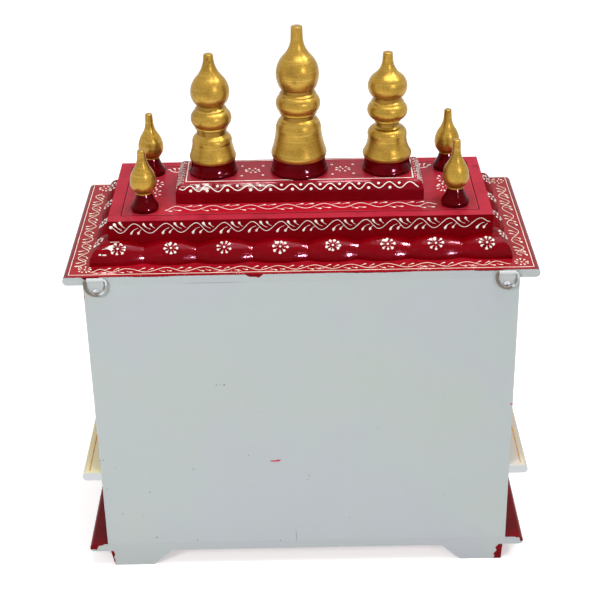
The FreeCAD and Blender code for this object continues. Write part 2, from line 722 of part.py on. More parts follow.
def build():
    bullnosed_board("base_board", "foot_height")
    bullnosed_board("shelf_board", SHELF_UNDER, notched=True)
    bullnosed_board("roof_board", ROOF_UNDER)
    for end, end_name in ((1, "back"), (-1, "front")):
        for side, side_name in ((-1, "left"), (1, "right")):
            steep = (end_name, side_name) == ("back", "left")
            slant = "back_left_outer_slant" if steep else "foot_outer_slant"
            corner_foot(f"foot_{end_name}_{side_name}", side, end, slant)
    plain_board("back_panel", (f"2 * {HALF_BODY}", "panel_thick", f"({ROOF_UNDER} - {BASE_TOP})"),
                (f"-{HALF_BODY}", PANEL_FRONT, BASE_TOP))
    plain_board("base_front", (f"2 * {HALF_BODY}", "wall_thick", "lower_storey"),
                (f"-{HALF_BODY}", BODY_FRONT, BASE_TOP))
    low_wall = f"({BODY_FRONT} + wall_thick)"
    high_wall = f"({COLUMN_Y} + column_block / 2)"
    for side, edge in (("left", f"-{HALF_BODY}"), ("right", f"({HALF_BODY} - wall_thick)")):
        plain_board(f"base_side_{side}",
                    ("wall_thick", f"({PANEL_FRONT} - {low_wall})", "lower_storey"),
                    (edge, low_wall, BASE_TOP))
        plain_board(f"side_wall_{side}",
                    ("wall_thick", f"({PANEL_FRONT} - {high_wall})", "upper_storey"),
                    (edge, high_wall, SHELF_TOP))
    for side, side_name in ((-1, "left"), (1, "right")):
        column(f"column_{side_name}", side)
    front_arch()
    petal_strip("petal_moulding_back", TIER_X, BACK_VALLEYS, "0", TIER_Y, 0)
    petal_strip("petal_moulding_front", TIER_X, FRONT_VALLEYS, "0", f"-{TIER_Y}", 180)
    petal_strip("petal_moulding_right", TIER_Y, SIDE_VALLEYS, TIER_X, "0", -90)
    petal_strip("petal_moulding_left", TIER_Y, SIDE_VALLEYS, f"-{TIER_X}", "0", 90)
    tier_box()
    spires()
    for side, side_name in ((-1, "left"), (1, "right")):
        hanger_strap(f"hanger_strap_{side_name}", side)
        hanger_ring(f"hanger_ring_{side_name}", side)


def sub_parts():
    """Bodies and dressed or plain boards, without the blanks that others are made from."""
    kinds = ("PartDesign::Body", "Part::Box", "Part::Chamfer", "Part::Fillet")
    return [item for item in doc.Objects
            if item.TypeId in kinds and not item.Label.endswith("_blank")]


def check():
    for item in doc.Objects:
        if {"Invalid", "Error"} & set(item.State):
            raise RuntimeError(f"{item.Label} failed: {item.State}")
    for item in sub_parts():
        if item.Shape.isNull() or not item.Shape.isValid() or len(item.Shape.Solids) != 1:
            raise RuntimeError(f"{item.Label} has a broken shape")


build()
doc.recompute()
check()
os.makedirs("parts", exist_ok=True)
for item in sub_parts():
    item.Shape.exportStep(os.path.join("parts", item.Label + ".step"))
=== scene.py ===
"""Looks of a painted wooden household shrine, seen from behind and above.

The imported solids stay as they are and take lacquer, white paint, gilding and metal finishes.
The painted ornament, which stands on them as raised cream strokes, and the hanger screws are
made here.
"""

import logging
import math
import random
from dataclasses import dataclass, field
from enum import Enum
from typing import Optional, Sequence, Union

import bpy
from mathutils import Matrix, Vector


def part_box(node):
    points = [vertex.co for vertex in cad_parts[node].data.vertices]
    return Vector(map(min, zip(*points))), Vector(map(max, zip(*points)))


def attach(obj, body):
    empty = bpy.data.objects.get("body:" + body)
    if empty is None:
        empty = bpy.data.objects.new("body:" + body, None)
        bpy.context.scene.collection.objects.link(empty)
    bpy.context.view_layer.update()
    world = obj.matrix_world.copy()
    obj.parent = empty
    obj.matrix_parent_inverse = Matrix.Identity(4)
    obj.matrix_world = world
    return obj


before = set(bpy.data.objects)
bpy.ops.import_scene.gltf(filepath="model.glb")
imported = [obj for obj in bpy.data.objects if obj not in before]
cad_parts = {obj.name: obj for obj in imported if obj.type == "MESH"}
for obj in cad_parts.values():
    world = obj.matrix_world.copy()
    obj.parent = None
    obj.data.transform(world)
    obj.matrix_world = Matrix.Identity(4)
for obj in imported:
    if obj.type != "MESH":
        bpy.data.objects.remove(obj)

logging.basicConfig(level=logging.INFO, format="%(message)s")
LOG = logging.getLogger("shrine")
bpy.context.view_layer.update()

MM = 0.001
FULL_SHINE = 0.08  # Share of light that lacquer of shine 1 sends back head on.
UP = Vector((0, 0, 1))
Colour = tuple[float, float, float]
Place = tuple[float, float]
Number = Union[float, "Wire"]


class Slot(Enum):
    """Material slots of the record for the added pieces; nothing here gives them to the pieces."""

    CREAM = "cream_paint"
    STEEL = "hanger_steel"


# Shader building
class Wire:
    """A shader socket that adds Math nodes when it is used in an expression."""

    def __init__(self, shader: "Shader", socket: bpy.types.NodeSocket) -> None:
        """Wrap an output socket of a shader."""
        self.shader = shader
        self.socket = socket

    def _math(self, operation: str, *values: Number) -> "Wire":
        """Add a Math node.

        Args:
            operation: the node's operation.
            values: its inputs in order.

        Returns:
            The node's result.
        """
        node = self.shader.node("ShaderNodeMath", {"operation": operation},
                                dict(enumerate(values)))
        return self.shader.wire(node)

    def __add__(self, other: Number) -> "Wire":
        """Sum of two values."""
        return self._math("ADD", self, other)

    __radd__ = __add__

    def __sub__(self, other: Number) -> "Wire":
        """Difference of two values."""
        return self._math("SUBTRACT", self, other)

    def __rsub__(self, other: Number) -> "Wire":
        """Difference with the wire second."""
        return self._math("SUBTRACT", other, self)

    def __mul__(self, other: Number) -> "Wire":
        """Product of two values."""
        return self._math("MULTIPLY", self, other)

    __rmul__ = __mul__

    def __truediv__(self, other: Number) -> "Wire":
        """Quotient of two values."""
        return self._math("DIVIDE", self, other)

    def __pow__(self, other: Number) -> "Wire":
        """Power of a value."""
        return self._math("POWER", self, other)

    def size(self) -> "Wire":
        """Value without its sign."""
        return self._math("ABSOLUTE", self)

    def sine(self) -> "Wire":
        """Sine of a value."""
        return self._math("SINE", self)

    def least(self, other: Number) -> "Wire":
        """Lower of two values."""
        return self._math("MINIMUM", self, other)

    def most(self, other: Number) -> "Wire":
        """Higher of two values."""
        return self._math("MAXIMUM", self, other)

    def ramp(self, low: float, high: float) -> "Wire":
        """Smooth step between two values.

        Args:
            low: where the step is 0; it may be the higher of the two.
            high: where the step is 1.

        Returns:
            The step, from 0 to 1.
        """
        if low > high:
            return 1 - self.ramp(high, low)
        settings = {"interpolation_type": "SMOOTHSTEP", "clamp": True}
        node = self.shader.node("ShaderNodeMapRange", settings, {0: self, 1: low, 2: high})
        return self.shader.wire(node)


class Shader:
    """A material under construction, in metres of the object's own coordinates, or a world.

    Fineness is the weight of the finer octaves in every noise.
    """

    fineness = 0.55

    def __init__(self, name: str, world: bool = False) -> None:
        """Start an empty material or world.

        Args:
            name: its name.
            world: whether it is a world, whose place is the direction of view.
        """
        self.material = (bpy.data.worlds if world else bpy.data.materials).new(name)
        self.material.use_nodes = True
        self.tree = self.material.node_tree
        self.tree.nodes.clear()
        self.place = self.node("ShaderNodeTexCoord").outputs["Generated" if world else "Object"]
        parts = self.node("ShaderNodeSeparateXYZ", inputs={0: self.place})
        self.x, self.y, self.z = (Wire(self, parts.outputs[axis]) for axis in range(3))

    def node(self, kind: str, settings: Optional[dict] = None,
             inputs: Optional[dict] = None) -> bpy.types.Node:
        """Add a node.

        Args:
            kind: the node's type.
            settings: its properties, which are set first.
            inputs: values, sockets or wires by socket name or number.

        Returns:
            The node.
        """
        node = self.tree.nodes.new(kind)
        for name, value in (settings or {}).items():
            setattr(node, name, value)
        for name, value in (inputs or {}).items():
            if isinstance(value, Wire):
                value = value.socket
            if isinstance(value, bpy.types.NodeSocket):
                self.tree.links.new(value, node.inputs[name])
            else:
                node.inputs[name].default_value = value
        return node

    def wire(self, node: bpy.types.Node, output: Union[int, str] = 0) -> Wire:
        """Wrap one output of a node."""
        return Wire(self, node.outputs[output])

    def seen(self) -> Wire:
        """Pick out the rays that show the pale surroundings.

        Returns:
            1 on camera, glossy and transmission rays, 0 on those that light the shrine.
        """
        path = self.node("ShaderNodeLightPath")
        camera, glossy, through = (self.wire(path, f"Is {ray} Ray")
                                   for ray in ("Camera", "Glossy", "Transmission"))
        return camera.most(glossy).most(through)

    def facing(self) -> tuple[Wire, Wire, Wire]:
        """Find the direction of the surface.

        Returns:
            Its three parts, in the object's own directions.
        """
        normal = self.node("ShaderNodeNewGeometry").outputs["True Normal"]
        turned = self.node(
            "ShaderNodeVectorTransform",
            {"vector_type": "NORMAL", "convert_from": "WORLD", "convert_to": "OBJECT"},
            {0: normal},
        )
        lean = self.node("ShaderNodeSeparateXYZ", inputs={0: turned.outputs[0]})
        return tuple(Wire(self, lean.outputs[axis]) for axis in range(3))

    def noise(self, scale: float, detail: float = 3, stretch: Sequence[float] = (1, 1, 1),
              shift: float = 0) -> Wire:
        """Noise from 0 to 1.

        Args:
            scale: features for each metre.
            detail: octaves.
            stretch: scale along each axis.
            shift: offset that makes another pattern.

        Returns:
            The noise value.
        """
        mapping = self.node("ShaderNodeMapping", inputs={
            "Vector": self.place, "Location": (shift, shift, shift), "Scale": tuple(stretch)})
        return self.wire(self.node("ShaderNodeTexNoise", inputs={
            "Vector": mapping.outputs[0], "Scale": scale, "Detail": detail,
            "Roughness": self.fineness}))

    def specks(self, scale: float, share: float) -> Wire:
        """Round specks with soft edges.

        Args:
            scale: cells for each metre.
            share: radius of a speck in cells.

        Returns:
            1 in a speck, 0 between specks.
        """
        cells = self.node("ShaderNodeTexVoronoi", inputs={"Vector": self.place, "Scale": scale})
        return self.wire(cells, "Distance").ramp(share, share * 0.5)

    def spot(self, centre: Sequence[Optional[float]], radii: Sequence[float],
             soft: float = 0.7) -> Wire:
        """Ellipse with a soft rim.

        Args:
            centre: middle in millimetres; None leaves that axis out.
            radii: half widths in millimetres.
            soft: share of the ellipse over which it fades.

        Returns:
            1 at the middle, 0 outside.
        """
        total: Number = 0.0
        for axis, middle, radius in zip((self.x, self.y, self.z), centre, radii):
            if middle is not None:
                total = ((axis - middle * MM) / (radius * MM)) ** 2 + total
        return total.ramp(1, 1 - soft)

    def mix(self, factor: Number, first: object, second: object) -> bpy.types.NodeSocket:
        """Blend two colours.

        Args:
            factor: share of the second.
            first: a colour or a socket.
            second: a colour or a socket.

        Returns:
            The blend.
        """
        colours = [(*colour, 1) if isinstance(colour, tuple) else colour
                   for colour in (first, second)]
        node = self.node("ShaderNodeMix", {"data_type": "RGBA"}, {
            "Factor": factor, 6: colours[0], 7: colours[1]})
        return node.outputs[2]

    def bump(self, height: Wire, depth: float, strength: float = 1) -> bpy.types.NodeSocket:
        """Normal from a height.

        Args:
            height: height from 0 to 1.
            depth: real depth in millimetres.
            strength: weight of the effect.

        Returns:
            The normal.
        """
        return self.node("ShaderNodeBump", inputs={
            "Height": height, "Distance": depth * MM, "Strength": strength}).outputs[0]

    def surface(self, **sockets: object) -> bpy.types.Material:
        """Close the material with a principled shader.

        Args:
            sockets: its inputs, with spaces written as underscores.

        Returns:
            The material.
        """
        inputs = {name.replace("_", " "): value for name, value in sockets.items()}
        node = self.node("ShaderNodeBsdfPrincipled", inputs=inputs)
        self.node("ShaderNodeOutputMaterial", inputs={"Surface": node.outputs[0]})
        return self.material


# Finishes
@dataclass(frozen=True)
class WhitePaint:
    """Thin white paint on board, faintly mottled, with specks and small marks."""

    name: str = "white"
    colour: Colour = (0.435, 0.475, 0.472)
    cool: Colour = (0.435, 0.46, 0.49)
    warm: Colour = (0.435, 0.478, 0.452)
    dirt: Colour = (0.2, 0.2, 0.2)

    def build(self) -> bpy.types.Material:
        """Make the material.

        Returns:
            The material.
        """
        shader = Shader(self.name)
        return shader.surface(Base_Color=self.marked(shader, self.tint(shader)),
                              Roughness=self.gloss(shader), Normal=self.relief(shader),
                              Specular_IOR_Level=0.3)

    def tint(self, shader: Shader) -> bpy.types.NodeSocket:
        """Mix the colour with its drift and specks.

        Args:
            shader: the material under construction.

        Returns:
            The colour.
        """
        colour = shader.mix(shader.noise(7, 3).ramp(0.4, 0.65), self.colour, self.cool)
        colour = shader.mix(shader.noise(9, 3, shift=4).ramp(0.5, 0.72) * 0.8, colour, self.warm)
        dust = shader.specks(190, 0.1) * shader.noise(30, 2, shift=9).ramp(0.5, 0.62)
        return shader.mix(dust * 0.6, colour, self.dirt)

    def marked(self, shader: Shader, colour: bpy.types.NodeSocket) -> bpy.types.NodeSocket:
        """Colour with the marks of one piece."""
        return colour

    def gloss(self, shader: Shader) -> Wire:
        """Roughness of the paint."""
        return shader.noise(40, 3, shift=5) * 0.2 + 0.38

    def relief(self, shader: Shader) -> bpy.types.NodeSocket:
        """Faint roller marks."""
        return shader.bump(shader.noise(220, 4, stretch=(1, 1, 0.6)), 0.08, 0.35)


@dataclass(frozen=True)
class PanelPaint(WhitePaint):
    """White paint of the back panel with its dark dots, red marks and drip.

    Lengths are in millimetres. Dots are (across, up, radius), reds and the drip (across, up,
    half width, half height). The face is the depth over which the marks set in.
    """

    red: Colour = (0.45, 0.01, 0.03)
    grey: Colour = (0.25, 0.26, 0.27)
    strength: float = 0.95
    face: Place = (94.3, 94.7)
    drip: tuple = (8.8, 28, 0.6, 8)
    dots: tuple = ((72.4, 185, 0.8), (69.4, 185.1, 0.6), (65.9, 185, 1.1), (-3.3, 92.6, 0.7),
                   (-2.2, 88.4, 0.6), (175.1, 112, 0.8), (172.5, 112, 0.8), (163, 104, 0.6),
                   (96, 101.1, 0.8), (48.1, 114.1, 0.7), (135, 77.9, 0.8), (160, 55.3, 0.7),
                   (171.3, 82.3, 0.7), (131.8, 29.5, 1), (96.1, 25.3, 0.8), (22.9, 23.9, 0.8),
                   (9.5, 17.7, 1.3), (-120, 70, 0.6), (-62, 140, 0.6), (-38, 47, 0.5),
                   (142, 52, 0.5), (-163.4, 270.5, 0.9), (-166.6, 269.8, 0.8),
                   (-160.4, 272, 0.7))
    reds: tuple = ((25.6, 108.1, 5, 0.9), (22.4, 108.9, 2.2, 0.7), (-174.6, 161.1, 1.7, 0.9),
                   (175.4, 270, 0.8, 2))

    def marked(self, shader: Shader, colour: bpy.types.NodeSocket) -> bpy.types.NodeSocket:
        """Add the panel's own marks.

        Args:
            shader: the material under construction.
            colour: its colour so far.

        Returns:
            The colour with the marks on its outer face.
        """
        behind = shader.y.ramp(self.face[0] * MM, self.face[1] * MM)
        for across, up, radius in self.dots:
            spot = shader.spot((across, None, up), (radius, 1, radius))
            colour = shader.mix(spot * behind * self.strength, colour, self.dirt)
        for across, up, width, height in self.reds:
            spot = shader.spot((across, None, up), (width, 1, height), 0.4)
            colour = shader.mix(spot * behind * self.strength, colour, self.red)
        across, up, width, height = self.drip
        drip = shader.spot((across, None, up), (width, 1, height)) * behind * 0.7
        return shader.mix(drip, colour, self.grey)


@dataclass(frozen=True)
class Lacquer:
    """Glossy crimson lacquer brushed over board, which turns lighter where it is thin.

    Top is how far faces that look up take the upper colour, a painted sheen of the light that
    falls on the tops, and flatness the vertical part of their direction over which they do.
    Ripple is the depth of the waves in millimetres, and shine the share of a full shine.
    """

    name: str = "crimson"
    colour: Colour = (0.16, 0.0, 0.0022)
    worn: Colour = (0.26, 0.001, 0.01)
    upper: Colour = (0.365, 0.018, 0.036)
    top: float = 0.0
    flatness: tuple = (0.75, 0.97)
    roughness: float = 0.2
    wear: float = 0.5
    ripple: float = 0.12
    shine: float = 0.13
    tint: Colour = (1.0, 0.4, 0.52)

    def build(self) -> bpy.types.Material:
        """Make the material.

        Returns:
            The material.
        """
        shader = Shader(self.name)
        colour, rough, normal = self.coat(shader)
        return shader.surface(Base_Color=self.marked(shader, colour), Roughness=rough,
                              Normal=normal, **self.gloss())

    def gloss(self) -> dict:
        """Constants of the shine: an index that gives it head on, and its tint."""
        root = math.sqrt(self.shine * FULL_SHINE)
        return {"IOR": (1 + root) / (1 - root), "Specular_Tint": (*self.tint, 1)}

    def coat(self, shader: Shader) -> tuple:
        """Mix the lacquer.

        Args:
            shader: the material under construction.

        Returns:
            Its colour, roughness and normal.
        """
        clouds = shader.noise(26, 4)
        fine = shader.noise(420, 3)
        brushed = shader.noise(240, 3, stretch=(0.06, 1, 1))
        thin = clouds.ramp(0.48, 0.78) * self.wear + fine.ramp(0.6, 0.8) * 0.1
        # Painted sheen: faces that look up take the lighter upper colour, and so do their worn
        # paint and specks.
        top_sheen = shader.facing()[2].ramp(*self.flatness) * self.top
        colour = shader.mix(top_sheen, self.colour, self.upper)
        worn = shader.mix(top_sheen, self.worn, tuple(channel * 1.35 for channel in self.upper))
        brush = brushed.ramp(0.5, 0.8) * (top_sheen * 0.3 + 0.12)
        colour = shader.mix(thin + brush + fine.ramp(0.55, 0.75) * top_sheen * 0.35, colour, worn)
        dark = tuple(channel * 0.7 for channel in self.colour)
        colour = shader.mix(shader.noise(55, 3, shift=3).ramp(0.52, 0.8) * 0.5, colour, dark)
        rough = shader.noise(90, 3, shift=7) * 0.14 + top_sheen * 0.1 + (self.roughness - 0.05)
        normal = shader.bump(shader.noise(170, 4, shift=2) + fine * 0.12, self.ripple)
        return colour, rough, normal

    def marked(self, shader: Shader, colour: bpy.types.NodeSocket) -> bpy.types.NodeSocket:
        """Colour with the marks of one piece."""
        return colour


@dataclass(frozen=True)
class RimmedLacquer(Lacquer):
    """Lacquer with a dark groove round a panel, of the given half sizes in millimetres.

    Shades are (across, along, half width, half depth, weight, colour) of painted light: a
    painted shade on the -X side just behind the crown, and a painted reflection of the crown
    in the strip behind it.
    """

    half: tuple = (146.5, 51.5)
    groove: float = 0.9
    gap: Colour = (0.02, 0.001, 0.002)
    scuffed: Colour = (0.6, 0.05, 0.07)
    painted_light_spots: tuple = ((-92, 34, 72, 24, 0.55, (0.2, 0.001, 0.005)),
                     (15, 40, 125, 14, 0.8, (0.37, 0.002, 0.01)))

    def marked(self, shader: Shader, colour: bpy.types.NodeSocket) -> bpy.types.NodeSocket:
        """Add the painted shade and reflection, the groove and the wear beside it.

        Args:
            shader: the material under construction.
            colour: its colour so far.

        Returns:
            The colour with all of them.
        """
        across = self.half[0] * MM - shader.x.size()
        along = (self.half[1] * MM - shader.y.size()) * 0.6
        near = across.least(along) / MM + shader.noise(120, 2, shift=6) * 0.5
        # Painted shade on the -X side behind the crown, and a painted reflection of the crown.
        for place, depth, width, reach, weight, painted_light_colour in self.painted_light_spots:
            spot = shader.spot((place, depth, None), (width, reach, 1), 0.9)
            colour = shader.mix(spot * weight, colour, painted_light_colour)
        beside = near.ramp(self.groove + 1.6, self.groove) * 0.35
        colour = shader.mix(beside, colour, self.scuffed)
        groove = near.ramp(self.groove + 0.25, self.groove - 0.1) * 0.95
        return shader.mix(groove, colour, self.gap)


@dataclass(frozen=True)
class BackedLacquer(Lacquer):
    """Lacquered board whose back edge carries the white of the back panel.

    Lengths are in millimetres. Sags are (across, half width, depth), by which the lacquer hangs
    down over the white below the board's top. Smudges are (across, along, half width, half
    depth, weight) of paint rubbed over it, and seams (across, half width, level) of lines in
    the white. The rim is a painted shade of the board's rounded ends, which darkens over a
    range of distances from them.
    """

    back: float = 95.0
    level: float = 287.9
    half: float = 193.0
    ragged: float = 0.9
    # Colour of the painted shade at the board's rounded ends.
    rim: Colour = (0.14, 0.012, 0.02)
    rim_shade_range: Place = (4.4, 3.2)
    rubbed: Colour = (0.75, 0.35, 0.38)
    grey: Colour = (0.2, 0.21, 0.22)
    sags: tuple = ()
    smudges: tuple = ()
    seams: tuple = ()

    def build(self) -> bpy.types.Material:
        """Make the material.

        Returns:
            The material.
        """
        shader = Shader(self.name)
        red, rough, normal = self.coat(shader)
        edge = shader.noise(260, 3, stretch=(1, 0, 0)) * self.ragged
        for across, width, depth in self.sags:
            edge = edge + shader.spot((across, None, None), (width, 1, 1), 0.9) * depth
        below = (self.level * MM - shader.z) / MM - edge
        behind = shader.y.ramp((self.back - 0.35) * MM, (self.back - 0.1) * MM)
        mask = below.ramp(-0.2, 0.2) * behind
        side = self.half - shader.x.size() / MM
        # Painted shade: the lacquer darkens towards the board's rounded ends.
        red = shader.mix(side.ramp(*self.rim_shade_range) * 0.75, red, self.rim)
        for across, along, width, depth, weight in self.smudges:
            spot = shader.spot((across, along, None), (width, depth, 1), 0.9)
            patchy = shader.noise(330, 2, shift=8).ramp(0.4, 0.6)
            red = shader.mix(spot * patchy * weight, red, self.rubbed)
        paint = WhitePaint().tint(shader)
        for across, width, level in self.seams:
            seam = shader.spot((across, None, level), (width, 1, 0.55)) * 0.6
            paint = shader.mix(seam, paint, self.grey)
        colour = shader.mix(mask, red, paint)
        return shader.surface(Base_Color=colour, Roughness=rough + mask * 0.25, Normal=normal,
                              **self.gloss())


@dataclass(frozen=True)
class FootPaint(Lacquer):
    """Back foot, white behind, with red lacquer wrapped round its outer edge.

    The side is 1 for +X and -1 for -X. In millimetres, the edge is where the red ends, the
    lean its drift for each millimetre up, and the scallop the depth of its waves. The ring is
    left by a drop, and has a middle and an outer and inner radius.
    """

    side: int = 1
    edge: float = 173.0
    lean: float = 0.0
    scallop: float = 1.5
    face: Place = (94.6, 94.9)
    ring: tuple = ((-156, None, 9), 3.4, 2.6)
    grey: Colour = (0.3, 0.31, 0.32)

    def build(self) -> bpy.types.Material:
        """Make the material.

        Returns:
            The material.
        """
        shader = Shader(self.name)
        red, rough, normal = self.coat(shader)
        wave = (shader.z * 900).sine() * 0.5 + shader.noise(130, 3, stretch=(0, 0, 1)) * 2
        level = shader.z * self.lean / MM + self.edge
        out = shader.x * self.side / MM - level - (wave - 1) * self.scallop
        behind = shader.y.ramp(self.face[0] * MM, self.face[1] * MM)
        white = out.ramp(0.25, -0.25) * behind
        colour = shader.mix(white, red, WhitePaint().tint(shader))
        middle, outer, inner = self.ring
        ring = shader.spot(middle, (outer, 1, outer))
        ring = ring * (1 - shader.spot(middle, (inner, 1, inner)))
        colour = shader.mix(ring * white * 0.25, colour, self.grey)
        return shader.surface(Base_Color=colour, Roughness=rough + white * 0.25, Normal=normal,
                              **self.gloss())


@dataclass(frozen=True)
class BandedLacquer(Lacquer):
    """Lacquer with gold paint on bands between two levels, in millimetres."""

    bands: tuple = ()
    gold: Colour = (0.55, 0.34, 0.07)

    def build(self) -> bpy.types.Material:
        """Make the material.

        Returns:
            The material.
        """
        shader = Shader(self.name)
        red, rough, normal = self.coat(shader)
        level = shader.z / MM + (shader.noise(200, 2) - 0.5) * 0.4
        mask: Number = 0.0
        for low, high in self.bands:
            mask = level.ramp(low - 0.2, low + 0.2) * level.ramp(high + 0.2, high - 0.2) + mask
        colour = shader.mix(mask, red, self.gold)
        return shader.surface(Base_Color=colour, Roughness=rough + mask * 0.1, Normal=normal,
                              Metallic=mask * 0.85, **self.gloss())


@dataclass(frozen=True)
class Gilding:
    """Metallic gold paint on turned wood, with fine lines left by the lathe.

    Lengths are in millimetres. The blush is the rust near the base, necks are (low, high) over
    the base of the grooves, which take a painted shade, and marks (across, along, up, radius,
    weight) of chips.
    """

    name: str = "gold"
    colour: Colour = (0.43, 0.25, 0.035)
    deep: Colour = (0.165, 0.078, 0.007)
    light: Colour = (0.8, 0.62, 0.18)
    rust: Colour = (0.3, 0.07, 0.015)
    # Colour of the painted shade in the neck grooves.
    dark: Colour = (0.15, 0.065, 0.008)
    wood: Colour = (0.05, 0.025, 0.012)
    base: float = 0.0
    blush: float = 0.0
    shaded_necks: tuple = ()
    marks: tuple = ()

    def build(self) -> bpy.types.Material:
        """Make the material.

        Returns:
            The material.
        """
        shader = Shader(self.name)
        rings = shader.noise(700, 3, stretch=(0.04, 0.04, 1))
        blotch = shader.noise(60, 4, shift=2)
        colour = shader.mix(blotch.ramp(0.42, 0.72) * 0.45, self.colour, self.deep)
        colour = shader.mix(rings.ramp(0.52, 0.75) * 0.3, colour, self.light)
        colour = shader.mix(rings.ramp(0.44, 0.28) * 0.25, colour, self.deep)
        grain = shader.noise(1300, 2, shift=5)
        colour = shader.mix(grain.ramp(0.5, 0.75) * 0.3, colour, self.light)
        colour = shader.mix(grain.ramp(0.48, 0.25) * 0.35, colour, self.deep)
        up = shader.z / MM - self.base
        # Painted shade: the grooves of the necks are darkened.
        for low, high in self.shaded_necks:
            neck_shade = up.ramp(low - 0.5, low + 0.6) * up.ramp(high + 0.5, high - 0.6)
            colour = shader.mix(neck_shade * 0.65, colour, self.dark)
        colour = shader.mix((up + blotch * 6).ramp(9, 0) * self.blush, colour, self.rust)
        chip: Number = 0.0
        for across, along, up, radius, weight in self.marks:
            spot = shader.spot((across, along, up), (radius, radius, radius))
            colour = shader.mix(spot * weight, colour, self.wood)
            chip = spot + chip
        rough = shader.noise(120, 3, shift=6) * 0.16 + grain * 0.12 + 0.18
        height = rings * 0.6 + shader.noise(480, 3) * 0.6 + grain * 0.3 - chip
        return shader.surface(Base_Color=colour, Metallic=0.85, Roughness=rough,
                              Normal=shader.bump(height, 0.12, 0.7))


@dataclass(frozen=True)
class Cream:
    """Cream paint, raised in the ornament or flat on a board."""

    name: str = "cream"
    colour: Colour = (0.83, 0.76, 0.55)
    pale: Colour = (0.88, 0.85, 0.74)
    roughness: float = 0.4

    def build(self) -> bpy.types.Material:
        """Make the material.

        Returns:
            The material.
        """
        shader = Shader(self.name)
        colour = shader.mix(shader.noise(160, 3).ramp(0.35, 0.65), self.colour, self.pale)
        normal = shader.bump(shader.noise(700, 3), 0.06, 0.5)
        rough = shader.noise(200, 2) * 0.15 + self.roughness
        return shader.surface(Base_Color=self.marked(shader, colour), Roughness=rough,
                              Normal=normal, Specular_IOR_Level=0.3)

    def marked(self, shader: Shader, colour: bpy.types.NodeSocket) -> bpy.types.NodeSocket:
        """Colour with the marks of one piece."""
        return colour


@dataclass(frozen=True)
class LinedCream(Cream):
    """Cream board with an ochre line inside its rim and a white back edge.

    The line stops over a range of depth before the back edge. The board turns paler towards
    -X, and its rim takes a painted shade, browner towards the board's rounded ends. Lengths are
    in millimetres.
    """

    half: tuple = (191.5, 95.0)
    inset: float = 5.8
    stop: Place = (91.5, 90.5)
    ochre: Colour = (0.72, 0.36, 0.03)
    paler_side: Colour = (0.66, 0.64, 0.56)
    white: Colour = (0.56, 0.58, 0.6)
    brown: Colour = (0.5, 0.42, 0.2)

    def marked(self, shader: Shader, colour: bpy.types.NodeSocket) -> bpy.types.NodeSocket:
        """Add the paler side, the line, the rim's painted shade and the back edge.

        Args:
            shader: the material under construction.
            colour: its colour so far.

        Returns:
            The colour with all of them.
        """
        # Paler and greyer towards the -X end.
        colour = shader.mix(shader.x.ramp(0.05, -0.15), colour, self.paler_side)
        across = self.half[0] - shader.x.size() / MM
        along = shader.y / MM + self.half[1]
        near = (across.least(along) - self.inset).size() + shader.noise(90, 2) * 0.5
        top = shader.facing()[2].ramp(0.5, 0.8)
        before = shader.y.ramp(self.stop[0] * MM, self.stop[1] * MM)
        line = near.ramp(0.95, 0.65) * before * top
        colour = shader.mix(line, colour, self.ochre)
        # Painted shade: browner towards the board's rounded ends.
        rim = across.ramp(3.6, 1.4) * 0.4
        colour = shader.mix(rim, colour, self.brown)
        behind = shader.y.ramp((self.half[1] - 0.35) * MM, (self.half[1] - 0.1) * MM)
        return shader.mix(behind, colour, self.white)


@dataclass(frozen=True)
class Zinc:
    """Zinc plated steel, partly painted over, with brown wear towards one side and its foot.

    The middle is (across, up) in millimetres, and the worn share grows away from it.
    """

    name: str = "zinc"
    colour: Colour = (0.5, 0.48, 0.45)
    paint: Colour = (0.52, 0.545, 0.545)
    brown: Colour = (0.115, 0.074, 0.038)
    covered: float = 0.5
    middle: Place = (0, 0)
    worn: float = 0.0

    def build(self) -> bpy.types.Material:
        """Make the material.

        Returns:
            The material.
        """
        shader = Shader(self.name)
        painted = shader.noise(300, 3).ramp(self.covered + 0.08, self.covered - 0.08)
        colour = shader.mix(painted, self.colour, self.paint)
        side = (shader.x / MM - self.middle[0]) * 1.1 - (shader.z / MM - self.middle[1]) * 0.6
        wear = (side / 9 + shader.noise(170, 3, shift=3)).ramp(0.55, 0.95) * self.worn
        colour = shader.mix(wear, colour, self.brown)
        return shader.surface(Base_Color=colour, Metallic=(1 - painted) * (1 - wear),
                              Roughness=painted * 0.2 + 0.3,
                              Normal=shader.bump(shader.noise(700, 3), 0.05, 0.5))


